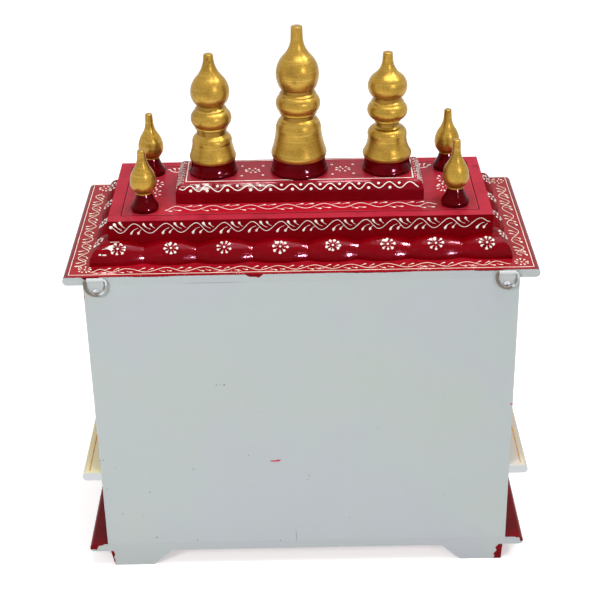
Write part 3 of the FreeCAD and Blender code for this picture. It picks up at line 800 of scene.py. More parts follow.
class Studio:
    """Camera at the photograph's viewpoint, soft lamps, pale floor and white surroundings.

    The camera's place and focal length are in millimetres and its angles in degrees. Lamps are
    (name, place, size, power) in metres and watts. Glints add a colour, and shine only on the
    glossy nodes. The sky is its strength at the horizon and overhead.
    """

    place = (-2.3, 1139.3, 815.1)
    yaw = 0.2
    pitch = 27.84
    roll = -1.18
    focal = 87.8
    sensor = 36
    clip = (0.01, 100)
    aim_height = 0.28
    lamps = (
        ("key", (-1.15, 1.75, 1.2), 0.22, 6.5),
        ("right", (-1.22, 0.05, 1.95), 0.3, 9.0),
        ("top", (-0.25, 0.1, 2.2), 1.2, 30.0),
    )
    fill = ("fill", (1.1, 1.6, 1.3), 0.5, 24.0)
    glints = (
        ("low_glint", (-1.15, 1.88, 0.5), 0.2, 260.0, (0.82, 0.8, 1.0)),
        ("side_glint", (-1.22, 0.05, 1.95), 0.28, 300.0, (1.0, 0.84, 0.88)),
        ("high_glint", (-0.05, -0.55, 2.1), 0.15, 60.0, (1.0, 0.95, 0.95)),
    )
    glossy_nodes = ("petal_moulding", "spire_foot", "upper_tier")
    sky = (0.24, 0.4)
    floor_half = 2.6
    floor_grey = 0.82
    floor_glow = 0.5

    def build(self) -> None:
        """Make the camera, the lamps, the floor and the world."""
        self.aim()
        for name, place, size, power in self.lamps:
            self.hang(name, place, size, power)
        self.hang(*self.fill).visible_glossy = False
        glossy = bpy.data.collections.new("glossy")
        for name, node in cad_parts.items():
            if name.startswith(self.glossy_nodes):
                glossy.objects.link(node)
        for name, place, size, power, colour in self.glints:
            lamp = self.hang(name, place, size, power)
            lamp.data.color = colour
            lamp.visible_diffuse = False
            lamp.light_linking.receiver_collection = glossy
        self.lay_floor()
        self.light_world()
        bpy.context.scene.view_settings.view_transform = "Standard"
        count = len(self.lamps) + 1 + len(self.glints)
        LOG.info("studio: camera, %d lamps, floor and world", count)

    def aim(self) -> None:
        """Set the camera."""
        yaw, pitch, roll = (math.radians(angle) for angle in (self.yaw, self.pitch, self.roll))
        ahead = Vector((math.sin(yaw) * math.cos(pitch), -math.cos(yaw) * math.cos(pitch),
                        -math.sin(pitch)))
        right = ahead.cross(UP).normalized()
        above = right.cross(ahead)
        turned = right * math.cos(roll) + above * math.sin(roll)
        raised = above * math.cos(roll) - right * math.sin(roll)
        camera = bpy.data.objects.new("camera", bpy.data.cameras.new("camera"))
        camera.data.lens = self.focal
        camera.data.sensor_width = self.sensor
        camera.data.clip_start, camera.data.clip_end = self.clip
        axes = Matrix((turned, raised, -ahead)).transposed().to_4x4()
        camera.matrix_world = Matrix.Translation(Vector(self.place) * MM) @ axes
        bpy.context.scene.collection.objects.link(camera)
        bpy.context.scene.camera = camera

    def hang(self, name: str, place: tuple, size: float, power: float) -> bpy.types.Object:
        """Hang a softbox that faces the shrine.

        Args:
            name: the lamp's name.
            place: its middle, in metres.
            size: length of its side.
            power: its power in watts.

        Returns:
            The lamp.
        """
        lamp = bpy.data.objects.new(name, bpy.data.lights.new(name, "AREA"))
        lamp.data.shape = "SQUARE"
        lamp.data.size = size
        lamp.data.energy = power
        lamp.location = place
        aim = UP * self.aim_height - Vector(place)
        lamp.rotation_euler = aim.to_track_quat("-Z", "Y").to_euler()
        bpy.context.scene.collection.objects.link(lamp)
        return lamp

    def lay_floor(self) -> None:
        """Lay the pale floor, which shows white to the camera and keeps the shadow."""
        half = self.floor_half
        mesh = bpy.data.meshes.new("floor")
        mesh.from_pydata([(-half, -half, 0), (half, -half, 0), (half, half, 0), (-half, half, 0)],
                         [], [(0, 1, 2, 3)])
        floor = bpy.data.objects.new("floor", mesh)
        bpy.context.scene.collection.objects.link(floor)
        shader = Shader("floor")
        grey = (*[self.floor_grey] * 3, 1)
        diffuse = shader.node("ShaderNodeBsdfDiffuse", inputs={"Color": grey})
        glow = shader.node("ShaderNodeEmission", inputs={
            "Color": (1, 1, 1, 1), "Strength": self.floor_glow})
        both = shader.node("ShaderNodeAddShader", inputs={
            0: diffuse.outputs[0], 1: glow.outputs[0]})
        mixed = shader.node("ShaderNodeMixShader", inputs={
            0: shader.seen(), 1: diffuse.outputs[0], 2: both.outputs[0]})
        shader.node("ShaderNodeOutputMaterial", inputs={"Surface": mixed.outputs[0]})
        mesh.materials.append(shader.material)

    def light_world(self) -> None:
        """Light the surroundings softly from above, and show them white."""
        shader = Shader("studio", world=True)
        bpy.context.scene.world = shader.material
        low, high = self.sky
        rise = shader.node("ShaderNodeMapRange", inputs={0: shader.z, 3: low, 4: high})
        sky = shader.node("ShaderNodeBackground", inputs={"Strength": rise.outputs[0]})
        white = shader.node("ShaderNodeBackground", inputs={"Color": (1, 1, 1, 1)})
        blend = shader.node("ShaderNodeMixShader", inputs={
            0: shader.seen(), 1: sky.outputs[0], 2: white.outputs[0]})
        shader.node("ShaderNodeOutputWorld", inputs={"Surface": blend.outputs[0]})


# Surfaces that carry the ornament, each addressed by a length across and a length up
class Skin:
    """A surface addressed by two lengths in metres."""

    def at(self, across: float, up: float) -> Vector:
        """Point of the surface."""
        raise NotImplementedError

    def normal(self, across: float, up: float) -> Vector:
        """Find the outward direction, from two small steps.

        Args:
            across: length across, in metres.
            up: length up, in metres.

        Returns:
            The direction.
        """
        step = 0.0002
        here = self.at(across, up)
        first = self.at(across + step, up) - here
        second = self.at(across, up + step) - here
        return first.cross(second).normalized()


@dataclass(frozen=True)
class Flat(Skin):
    """A flat face."""

    origin: Vector
    across: Vector
    up: Vector

    def at(self, across: float, up: float) -> Vector:
        """Point of the face."""
        return self.origin + self.across * across + self.up * up


@dataclass(frozen=True)
class RoundEdge(Skin):
    """A quarter-round edge; up is 0 at the top of its arc and falls below it."""

    centre: Vector
    across: Vector
    outward: Vector
    radius: float

    def at(self, across: float, up: float) -> Vector:
        """Find a point of the arc.

        Args:
            across: length across, in metres.
            up: length up, in metres.

        Returns:
            The point.
        """
        angle = -up / self.radius
        reach = UP * math.cos(angle) + self.outward * math.sin(angle)
        return self.centre + self.across * across + reach * self.radius


@dataclass(frozen=True)
class PetalSkin(Skin):
    """A moulding scalloped into petals; up is 0 at the top of its arc and falls below it.

    The petals' radius drops by the dip from each crest to the valleys beside it.
    """

    centre: Vector
    across: Vector
    outward: Vector
    crest: float
    dip: float
    half_run: float
    valleys: tuple

    def at(self, across: float, up: float) -> Vector:
        """Find a point of the petals.

        Args:
            across: length across, in metres.
            up: length up, in metres.

        Returns:
            The point.
        """
        level = self.half_run * len(self.valleys) / (len(self.valleys) + 1)
        middles = [(low + high) / 2 for low, high in zip(self.valleys, self.valleys[1:])]
        middles = [-level, *middles, level]
        nearest = sum(across > valley for valley in self.valleys)
        middle = middles[nearest]
        edge = self.valleys[nearest if across > middle else nearest - 1] if (
            abs(across) < level) else math.inf
        radius = self.crest - self.dip * ((across - middle) / (edge - middle)) ** 2
        angle = -up / self.crest
        reach = UP * math.cos(angle) + self.outward * math.sin(angle)
        return self.centre + self.across * across + reach * radius


class Side(Enum):
    """Sides of the shrine, with the way to the right and the way out as one looks at them."""

    BACK = ((-1, 0, 0), (0, 1, 0))
    FRONT = ((1, 0, 0), (0, -1, 0))
    LEFT = ((0, -1, 0), (-1, 0, 0))
    RIGHT = ((0, 1, 0), (1, 0, 0))

    @property
    def across(self) -> Vector:
        """Way to the right."""
        return Vector(self.value[0])

    @property
    def outward(self) -> Vector:
        """Way out."""
        return Vector(self.value[1])

    @property
    def long(self) -> bool:
        """Whether this is the back or the front."""
        return self in (Side.BACK, Side.FRONT)

    def extent(self, node: str) -> tuple[float, float]:
        """Measure a centred node along this side.

        Args:
            node: the node's name.

        Returns:
            Half its length and its reach outwards, in metres.
        """
        low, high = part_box(node)
        along = Vector((high.x, high.y, 0))
        out = high if sum(self.outward) > 0 else low
        return abs(along.dot(self.across)), out.dot(self.outward)

    def wall(self, reach: float, level: float) -> Flat:
        """Upright face at a reach, with up measured from a level."""
        return Flat(self.outward * reach + UP * level, self.across, UP)

    def top(self, reach: float, level: float) -> Flat:
        """Level face whose up is the distance inwards from its edge at a reach."""
        return Flat(self.outward * reach + UP * level, self.across, -self.outward)

    def top_of(self, node: str) -> Flat:
        """Top face of a node, whose up is the distance inwards from this side of it."""
        return self.top(self.extent(node)[1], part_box(node)[1].z)

    def edge(self, reach: float, level: float, radius: float) -> RoundEdge:
        """Rounded edge between a top at a level and a wall at a reach."""
        centre = self.outward * (reach - radius) + UP * (level - radius)
        return RoundEdge(centre, self.across, self.outward, radius)


@dataclass
class Relief:
    """Raised brush strokes, gathered into one mesh; lengths are in millimetres.

    A stroke is as high as its half width times the fullness, up to the height, and its edges
    lie under the surface by the sink. It has five sides. A straight run goes in steps of about
    the pace and strays by the waver, and the thin is the half width of a drop's tail.
    """

    height: float = 0.4
    fullness: float = 0.7
    sink: float = 0.06
    sides: int = 5
    pace: float = 5
    waver: float = 0.12
    thin: float = 0.2
    points: list = field(default_factory=list)
    faces: list = field(default_factory=list)

    def stroke(self, skin: Skin, path: Sequence[Place], widths: Sequence[float],
               closed: bool = False) -> None:
        """Lay a stroke of half-oval section.

        Args:
            skin: surface that it is laid on.
            path: points on the surface.
            widths: half width at each point.
            closed: whether the stroke returns to its start.
        """
        sides = self.sides
        first = len(self.points)
        count = len(path)
        path = [(across * MM, up * MM) for across, up in path]
        for index, (across, up) in enumerate(path):
            before = path[(index - 1) % count] if closed or index else path[0]
            after = path[(index + 1) % count] if closed or index < count - 1 else path[-1]
            here = skin.at(across, up)
            out = skin.normal(across, up)
            run = (skin.at(*after) - skin.at(*before)).normalized()
            side = out.cross(run).normalized()
            half = widths[index]
            tall = min(self.height, half * self.fullness)
            for spoke in range(sides):
                turn = math.pi * spoke / (sides - 1)
                lift = tall * math.sin(turn) - self.sink
                spread = side * half * math.cos(turn)
                self.points.append(here + (spread + out * lift) * MM)
        for index in range(count if closed else count - 1):
            low = first + index * sides
            high = first + ((index + 1) % count) * sides
            for spoke in range(sides):
                following = (spoke + 1) % sides
                self.faces.append((low + spoke, high + spoke, high + following, low + following))
        if not closed:
            last = first + (count - 1) * sides
            self.faces.append(tuple(range(first, first + sides)))
            self.faces.append(tuple(range(last + sides - 1, last - 1, -1)))

    def line(self, skin: Skin, path: Sequence[Place], width: float,
             closed: bool = False) -> None:
        """Lay a stroke of one half width."""
        self.stroke(skin, path, [width] * len(path), closed)

    def run(self, skin: Skin, start: Place, end: Place, width: float,
            dice: random.Random) -> None:
        """Lay a long straight line with the waver of a brush.

        Args:
            skin: surface that it is laid on.
            start: first end.
            end: other end.
            width: half width.
            dice: source of the waver.
        """
        length = math.dist(start, end)
        steps = max(2, int(length / self.pace))
        path, widths = [], []
        for step in range(steps + 1):
            share = step / steps
            drift = dice.uniform(-self.waver, self.waver)
            path.append(tuple(a + (b - a) * share + drift for a, b in zip(start, end)))
            widths.append(width * dice.uniform(0.8, 1.15))
        self.stroke(skin, path, widths)

    def dot(self, skin: Skin, across: float, up: float, radius: float) -> None:
        """Lay a round dot.

        Args:
            skin: surface that it is laid on.
            across: place of its middle.
            up: place of its middle.
            radius: its radius.
        """
        turns = [math.pi * (step + 0.35) / 5.7 for step in range(6)]
        path = [(across - radius * math.cos(turn), up) for turn in turns]
        self.stroke(skin, path, [radius * math.sin(turn) for turn in turns])

    def drop(self, skin: Skin, tail: Place, head: Place, radius: float,
             bend: float = 0.0) -> None:
        """Lay a teardrop.

        Args:
            skin: surface that it is laid on.
            tail: thin end.
            head: middle of the round end.
            radius: radius of the round end.
            bend: sideways lean of the middle.
        """
        start, end = Vector(tail), Vector(head)
        way = end - start
        length = way.length
        lean = Vector((-way.y, way.x)) / length * bend
        steps = 9
        reach = length + radius * 0.9
        path, widths = [], []
        for step in range(steps):
            travel = step / (steps - 1) * reach
            along = travel / length
            spot = start + way * along + lean * (4 * along * (1 - along))
            path.append((spot.x, spot.y))
            body = max(0.0, (travel - length * 0.45) / (length * 0.55)) ** 1.8
            width = self.thin + (radius - self.thin) * body
            ahead = travel - length
            if ahead > 0:
                width = math.sqrt(max(radius ** 2 - ahead ** 2, (0.25 * radius) ** 2))
            widths.append(min(width, radius))
        self.stroke(skin, path, widths)

    def build(self, name: str, material: bpy.types.Material) -> None:
        """Make the strokes one piece of cream paint."""
        seat(name, self.points, self.faces, material)


def seat(name: str, points: Sequence, faces: Sequence, material: bpy.types.Material) -> None:
    """Make a smooth mesh object that rides on the shrine.

    Args:
        name: the piece's name.
        points: its corners, in metres.
        faces: its faces.
        material: its finish.
    """
    mesh = bpy.data.meshes.new(name)
    mesh.from_pydata([tuple(point) for point in points], [], faces)
    mesh.polygons.foreach_set("use_smooth", [True] * len(mesh.polygons))
    mesh.materials.append(material)
    mesh.update()
    piece = bpy.data.objects.new(name, mesh)
    bpy.context.scene.collection.objects.link(piece)
    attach(piece, "shrine")
    LOG.info("%s: %d faces", name, len(faces))


def coat(material: bpy.types.Material, *names: str) -> None:
    """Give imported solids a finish.

    Args:
        material: the finish.
        names: the nodes.
    """
    for name in names:
        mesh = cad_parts[name].data
        mesh.materials.clear()
        mesh.materials.append(material)
    LOG.info("%s on %s", material.name, ", ".join(names))


# Motifs
@dataclass(frozen=True)
class Flower:
    """Ring of teardrop petals round a dot, in millimetres.

    Wide and tall are the reach of the petals' heads, and the hollow is the share of it at which
    they start.
    """

    wide: float
    tall: float
    petals: int
    head: float = 1.3
    middle: float = 0.95
    hollow: float = 0.58

    def draw(self, relief: Relief, skin: Skin, across: float, up: float,
             dice: random.Random) -> None:
        """Lay the flower.

        Args:
            relief: mesh that it joins.
            skin: surface that it is laid on.
            across: place of its middle.
            up: place of its middle.
            dice: source of its unevenness.
        """
        relief.dot(skin, across, up, self.middle)
        start = dice.uniform(0, math.tau / self.petals)
        for petal in range(self.petals):
            turn = start + math.tau * petal / self.petals + dice.uniform(-0.12, 0.12)
            reach = dice.uniform(0.9, 1.06)
            inner = reach * self.hollow
            spin = (math.cos(turn) * self.wide, math.sin(turn) * self.tall)
            head = (across + spin[0] * reach, up + spin[1] * reach)
            tail = (across + spin[0] * inner, up + spin[1] * inner)
            relief.drop(skin, tail, head, self.head * dice.uniform(0.82, 1.12))


@dataclass(frozen=True)
class Leaf:
    """Comma leaf beside a turn of a vine, with its head and tail measured from the turn."""

    head: Place
    tail: Place
    radius: float
    bend: float

    def draw(self, relief: Relief, skin: Skin, turn: Place, side: int,
             dice: random.Random) -> None:
        """Lay the leaf.

        Args:
            relief: mesh that it joins.
            skin: surface that it is laid on.
            turn: place of the stem's turn.
            side: 1 above a trough, -1 below a crest.
            dice: source of its unevenness.
        """
        shift = (turn[0] + dice.uniform(-0.4, 0.4), turn[1] + dice.uniform(-0.3, 0.3))
        head, tail = ((shift[0] + end[0] + dice.uniform(-0.25, 0.25), shift[1] + side * end[1])
                      for end in (self.head, self.tail))
        relief.drop(skin, tail, head, self.radius * dice.uniform(0.85, 1.12), side * self.bend)


@dataclass(frozen=True)
class Vine:
    """Waving stem with a pair of comma leaves in each hollow, in millimetres.

    The wave is the pitch of its even turns, the swing half their height.
    """

    above: tuple
    below: tuple
    stem: float
    wave: float = 24
    swing: float = 4.2

    def turns(self, start: float, end: float, middle: float) -> list:
        """Evenly spread turns of the stem.

        Args:
            start: first place along the surface.
            end: last place along the surface.
            middle: place of the stem's middle line across the surface.

        Returns:
            The turns, from trough to crest and back.
        """
        count = max(2, round(2 * (end - start) / self.wave))
        step = (end - start) / count
        return [(start + step * index, middle - (-1) ** index * self.swing)
                for index in range(count + 1)]

    def draw(self, relief: Relief, skin: Skin, turns: Sequence[Place],
             dice: random.Random) -> None:
        """Lay the vine through its turns.

        Args:
            relief: mesh that it joins.
            skin: surface that it is laid on.
            turns: troughs and crests by turns.
            dice: source of its unevenness.
        """
        turns = [(across + dice.uniform(-0.4, 0.4), up + dice.uniform(-0.25, 0.25))
                 for across, up in turns]
        steps = 9
        path, widths = [], []
        for (here, low), (there, high) in zip(turns, turns[1:]):
            for step in range(steps):
                share = step / steps
                ease = (1 - math.cos(math.pi * share)) / 2
                path.append((here + (there - here) * share, low + (high - low) * ease))
                widths.append(self.stem * dice.uniform(0.88, 1.1))
        path.append(turns[-1])
        widths.append(self.stem * 0.7)
        relief.stroke(skin, path, widths)
        for index in range(1, len(turns) - 1):
            side = 1 if turns[index][1] < turns[index - 1][1] else -1
            for leaf in self.above if side > 0 else self.below:
                leaf.draw(relief, skin, turns[index], side, dice)


# Sub-assemblies
@dataclass
class Ornament:
    """Base of the sub-assemblies that carry painted ornament."""

    cream: bpy.types.Material
    dice: random.Random
    relief: Relief = field(default_factory=Relief)

    def mirrored(self, turns: Sequence[Place]) -> list:
        """Turns of a vine read from its other end."""
        return [(-across, up) for across, up in reversed(turns)]


@dataclass
class Roof(Ornament):
    """Roof board with a lined border, waving vines and a flower at each corner."""

    insets: Place = (3.7, 4.7)
    line_width: float = 0.36
    vine: Vine = Vine(
        stem=0.33,
        above=(Leaf((-2.2, 7), (-6.4, 2.6), 0.8, 0.7), Leaf((4.7, 6), (0.8, 1.8), 0.75, 0.7)),
        below=(Leaf((-1.4, 7.4), (-5.8, 4), 0.8, 0.7), Leaf((4.8, 6.6), (0.9, 4.2), 0.75, 0.7)),
    )
    right_vine: Vine = Vine(
        stem=0.36,
        above=(Leaf((0.5, 7.4), (-4.5, 2), 1, 0.9), Leaf((5.6, 7.2), (1, 1.8), 1, 0.8)),
        below=(Leaf((0, 7.6), (-4.5, 1.4), 1, -0.9), Leaf((5.6, 7.4), (1.4, 1.6), 1, -0.8)),
    )
    left_vine: Vine = Vine(
        stem=0.36,
        above=(Leaf((2, 7.6), (-4, 1.6), 1.05, -0.9), Leaf((-4, 7.4), (-8.5, 2.6), 1.05, -0.8)),
        below=(Leaf((-3.4, 7.6), (1.6, 2), 1.2, -1), Leaf((2.6, 7.2), (6.4, 2), 1.1, -0.9)),
    )
    corners: dict = field(default_factory=lambda: {
        Side.BACK: (13.6, 12.5), Side.FRONT: (15.5, 12.5), Side.LEFT: (12.5, 12.5),
        Side.RIGHT: (13, 16.8)})
    back_turns: tuple = (
        (-170, 7.6), (-162.5, 13.6), (-152.4, 8.2), (-141.3, 13.6), (-124, 7.4), (-109, 14.6),
        (-94, 7.4), (-77.5, 14.8), (-62.4, 7.4), (-48, 14.4), (-33, 7.2), (-18.5, 14.4), (-4, 7.2),
        (10.7, 14.2), (25.5, 7.2), (40, 14.2), (55, 7.2), (69.5, 14.4), (86, 7.2), (102, 14.4),
        (118, 7.2), (134, 14.8), (147.5, 8.2), (157.5, 14.6), (168.5, 9.5),
    )
    right_turns: tuple = (
        (-71, 14), (-65, 8.6), (-52, 16.2), (-39.6, 8.4), (-28, 16), (-15, 8.2), (-1, 16.3),
        (12.2, 8.4), (25, 16.6), (37.7, 8.8), (48, 16), (60.6, 9), (70, 16.4), (78, 11),
    )
    left_turns: tuple = (
        (-71, 12), (-67, 15.6), (-56.3, 8), (-42.2, 16), (-25, 8), (-8.5, 15.8), (5.8, 8),
        (23, 15.6), (36.1, 8), (48.1, 15.4), (63.6, 7.4), (74, 14),
    )

    def build(self) -> None:
        """Dress the board and lay its ornament."""
        # Its top takes the painted sheen, a lighter lacquer on faces that look up.
        finish = BackedLacquer(
            "roof_lacquer", top=0.7, upper=(0.31, 0.005, 0.014),
            half=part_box("roof_board")[1].x / MM, seams=((71, 30, 280.6),),
            sags=((38, 7, 2.2), (33, 3, 1), (169, 8, 2.2), (-150, 14, 0.7), (120, 20, 0.5),
                  (-60, 30, 0.5)),
            smudges=((66, 88.6, 6, 3, 0.6), (24, 89, 6, 3, 0.5), (-17, 87, 6, 3.5, 0.6),
                     (-56, 87, 6, 3, 0.5), (-98, 88, 6, 3.5, 0.6), (-137.5, 88, 7, 3.5, 0.6),
                     (157, 89, 13, 3, 0.95)),
        )
        coat(finish.build(), "roof_board")
        turns = {Side.BACK: self.back_turns, Side.FRONT: self.mirrored(self.back_turns),
                 Side.RIGHT: self.right_turns, Side.LEFT: self.left_turns}
        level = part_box("roof_board")[1].z
        for side in Side:
            half, reach = side.extent("roof_board")
            skin = side.top(reach, level)
            inset, other = self.insets if side.long else self.insets[::-1]
            end = half / MM - other
            self.relief.run(skin, (-end, inset), (end, inset), self.line_width, self.dice)
            vine = {Side.RIGHT: self.right_vine, Side.LEFT: self.left_vine}.get(side, self.vine)
            vine.draw(self.relief, skin, turns[side], self.dice)
            across, up = self.corners[side]
            Flower(5.1, 5.1, 9, 0.95, 0.85).draw(self.relief, skin, half / MM - across, up,
                                                 self.dice)
        self.relief.build("roof_ornament", self.cream)


@dataclass
class Petals(Ornament):
    """Scalloped moulding with a painted flower on every petal, in millimetres.

    The arc is how far down the petals the flowers are, and the shifts are those of the back's
    valleys from an even pitch. The plinth is the strip's flat foot under the petals' arc.
    Smudges are drops of (tail, head, radius, bend), streaks lines of (path, half width), and
    the blotted flowers of the back have a blot of paint inside them.
    """

    flower_size: Place = (5.5, 4.7)
    arc: float = 10.3
    back_flowers: tuple = (-148.5, -104.6, -62.1, -17.1, 26.3, 70.8, 110.1, 151)
    back_shifts: tuple = (1.3, 0.4, 3.6, 5.6, 3.6, 3.3, 2.8)
    crest: float = 15.0
    plinth: float = 1.2
    dip: float = 4.2
    smudges: tuple = (((-161, -10.6), (-154.2, -9.4), 2.2, 0.2),
                      ((-158.5, -9.2), (-154.6, -8), 1.3, 0.0))
    streaks: tuple = ((((-163.5, -15), (-161.5, -15.1)), 0.7),
                      (((-160.6, -15.3), (-157.4, -15.4)), 0.6),
                      (((-155, -3.1), (-151, -2.8), (-147.4, -2.9)), 0.3))
    blotted: tuple = (-104.6, -17.1, 70.8, 110.1)

    def build(self) -> None:
        """Dress the moulding and lay its flowers."""
        glossy = Lacquer("petal_lacquer", roughness=0.1, wear=0.45, ripple=0.4, shine=0.14)
        coat(glossy.build(), "petal_moulding_back", "petal_moulding_front")
        dull = Lacquer("end_petal_lacquer", roughness=0.3, wear=0.6, ripple=0.3, shine=0.02)
        coat(dull.build(), "petal_moulding_left", "petal_moulding_right")
        for side in Side:
            skin = self.skin(side)
            petals = len(skin.valleys) + 1
            pitch = 2 * skin.half_run / MM / petals
            places = [pitch * (petal + 0.5) - skin.half_run / MM for petal in range(petals)]
            for across in self.back_flowers if side is Side.BACK else places:
                wide, tall = (self.uneven(size) for size in self.flower_size)
                flower = Flower(wide, tall, self.dice.choice((8, 8, 9)))
                flower.draw(self.relief, skin, across + self.dice.uniform(-0.6, 0.6),
                            -self.arc + self.dice.uniform(-0.4, 0.4), self.dice)
        self.smears(self.skin(Side.BACK))
        self.relief.build("petal_flowers", self.cream)

    def uneven(self, size: float) -> float:
        """Vary a size a little."""
        return size * self.dice.uniform(0.92, 1.06)

    def skin(self, side: Side) -> PetalSkin:
        """Describe the surface of the petals of one side.

        Args:
            side: the side.

        Returns:
            The surface.
        """
        half, reach = side.extent(f"petal_moulding_{side.name.lower()}")
        inner = reach - self.crest * MM
        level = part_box("roof_board")[1].z + self.plinth * MM
        shifts = self.back_shifts if side is Side.BACK else (0.0,) * (7 if side.long else 3)
        pitch = 2 * half / (len(shifts) + 1)
        valleys = tuple(pitch * step - half + shift * MM for step, shift in enumerate(shifts, 1))
        return PetalSkin(side.outward * inner + UP * level, side.across, side.outward,
                         self.crest * MM, self.dip * MM, half, valleys)

    def smears(self, skin: PetalSkin) -> None:
        """Lay the smudged paint beside the first flower and inside four others.

        Args:
            skin: surface of the back's petals.
        """
        for smudge in self.smudges:
            self.relief.drop(skin, *smudge)
        for path, width in self.streaks:
            self.relief.line(skin, path, width)
        for across in self.blotted:
            self.relief.drop(skin, (across - 4.2, -5), (across - 1.6, -6.6), 1.5)


@dataclass
class LowerTier(Ornament):
    """Boxed tier with a vine round its walls and a bordered panel on top, in millimetres.

    Crests and troughs are those of the long walls' vine, with their drops below the top, and
    the near and far ends its first and last turns. The fan is (head, tail) of the drops at its
    start. Panel flowers are (across, up, petals). The curl is the stem past each end of the
    upper tier, with drops of (tail, head, radius).
    """

    crests: tuple = (-134.7, -108.7, -84.4, -61.7, -38.2, -15.5, 6.3, 29.8, 53.3, 76, 97, 121.3,
                     146.4)
    crest_drop: float = 2.5
    trough_drop: float = 10.9
    wall_vine: Vine = Vine(
        stem=0.3,
        above=(Leaf((-4.6, 7.6), (1, 3.3), 1.25, 0.8), Leaf((0.9, 7.7), (4.2, 4.6), 1.15, 0.4)),
        below=(Leaf((-3, 8.4), (2.6, 3.9), 1.25, 0.9), Leaf((2.9, 8.2), (5.8, 5), 1.15, 0.3)),
    )
    panel_vine: Vine = Vine(
        stem=0.34, wave=30.7, swing=4.3,
        above=(Leaf((-2.5, 8.9), (-8.4, 6.2), 0.9, 0.5), Leaf((5.4, 9), (-0.8, 6.3), 0.95, 0.7)),
        below=(Leaf((-3.4, 10), (-8.4, 6.9), 1, 0.6), Leaf((3.9, 8.6), (-1.9, 6.4), 0.95, 0.6)),
    )
    near_end: tuple = ((-153.6, -5.4), (-146, -10.9))
    far_end: Place = (153.8, -6.6)
    fan: tuple = (((3.2, 2.6), (8.6, -3)), ((7.4, 3.8), (11, -0.4)))
    panel_inset: float = 23.4
    panel_flowers: tuple = ((-121.5, 13, 8), (-122, -5.5, 7), (123, 13.5, 8), (120.8, -4.5, 9))
    curl: tuple = ((102.4, 40.4), (103.4, 39), (106.5, 38.4), (110, 39.3), (113.3, 43.8))
    curl_drops: tuple = (
        ((111.4, 41), (113.6, 44.6), 1.15), ((108.8, 39.4), (109.3, 47), 1),
        ((105, 40), (105.1, 46.2), 1), ((103.2, 41.4), (101.8, 45.4), 0.8),
    )

    def build(self) -> None:
        """Dress the tier and lay its ornament."""
        coat(Lacquer("tier_lacquer", wear=0.3, roughness=0.26, top=1.0, shine=0.04).build(),
             "tier_wall_back", "tier_wall_front", "tier_wall_left", "tier_wall_right")
        panel = RimmedLacquer("panel_lacquer", wear=0.6, roughness=0.27, top=0.75, shine=0.08)
        coat(panel.build(), "tier_panel")
        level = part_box("tier_panel")[1].z
        for side in Side:
            reach = side.extent(f"tier_wall_{side.name.lower()}")[1]
            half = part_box("tier_wall_back")[1].x if side.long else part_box("tier_wall_back")[1].y
            self.wall(side, side.wall(reach, level), half / MM)
        self.panel()
        self.relief.build("tier_ornament", self.cream)

    def wall(self, side: Side, skin: Flat, half: float) -> None:
        """Lay the vine of one wall, which starts with a dot and two drops.

        Args:
            side: the side.
            skin: surface of the wall.
            half: half length of the wall.
        """
        middle = -(self.crest_drop + self.trough_drop) / 2
        if side.long:
            turns = list(self.near_end)
            for crest, following in zip(self.crests, self.crests[1:]):
                turns += [(crest, -self.crest_drop),
                          ((crest + following) / 2 - 0.6, -self.trough_drop)]
            turns += [(self.crests[-1], -self.crest_drop - 0.6), self.far_end]
        else:
            turns = self.wall_vine.turns(-half + 4, half - 4, middle)
        self.wall_vine.draw(self.relief, skin, turns, self.dice)
        start = turns[0]
        self.relief.dot(skin, start[0], start[1], 1.5)
        for head, tail in self.fan:
            self.relief.drop(skin, (start[0] + tail[0], start[1] + tail[1]),
                             (start[0] + head[0], start[1] + head[1]), 1.3, 0.7)

    def panel(self) -> None:
        """Lay the panel's two long vines, its flowers and the curls past the crown's ends."""
        for side in (Side.BACK, Side.FRONT):
            turns = self.panel_vine.turns(-87, 96, self.panel_inset)
            if side is Side.BACK:
                turns = [(-111.4, self.panel_inset - 3.6), (-102.5, 27.6), *turns, (106, 25.6),
                         (113, 22)]
            skin = side.top_of(f"tier_wall_{side.name.lower()}")
            self.panel_vine.draw(self.relief, skin, turns, self.dice)
        top = Side.BACK.top(0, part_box("tier_panel")[1].z)
        for across, up, petals in self.panel_flowers:
            flower = Flower(4.8, 7.4, petals, 1.2, 0.9)
            flower.draw(self.relief, top, across, up, self.dice)
        for side in (-1, 1):
            self.relief.line(top, [(side * across, up) for across, up in self.curl], 0.42)
            for tail, head, radius in self.curl_drops:
                self.relief.drop(top, (side * tail[0], tail[1]), (side * head[0], head[1]), radius,
                                 side * 0.8)


@dataclass(frozen=True)
class CrownLacquer(Lacquer):
    """Lacquer with cream paint rubbed along the rounded edge over part of its length.

    Rubbed places are (across, half width, weight) in millimetres, along an edge at (along, up).
    """

    rubbed: tuple = ((76, 24, 0.95), (38, 18, 0.5))
    edge: Place = (27, 335)
    spread: Place = (3.6, 3.4)
    smear: Colour = (0.82, 0.7, 0.66)

    def marked(self, shader: Shader, colour: bpy.types.NodeSocket) -> bpy.types.NodeSocket:
        """Add the rubbed paint.

        Args:
            shader: the material under construction.
            colour: its colour so far.

        Returns:
            The colour with the paint.
        """
        patchy = shader.noise(300, 3, stretch=(0.6, 1, 1)).ramp(0.42, 0.62)
        for across, width, weight in self.rubbed:
            spot = shader.spot((across, *self.edge), (width, *self.spread), 0.6)
            colour = shader.mix(spot * patchy * weight, colour, self.smear)
        return colour


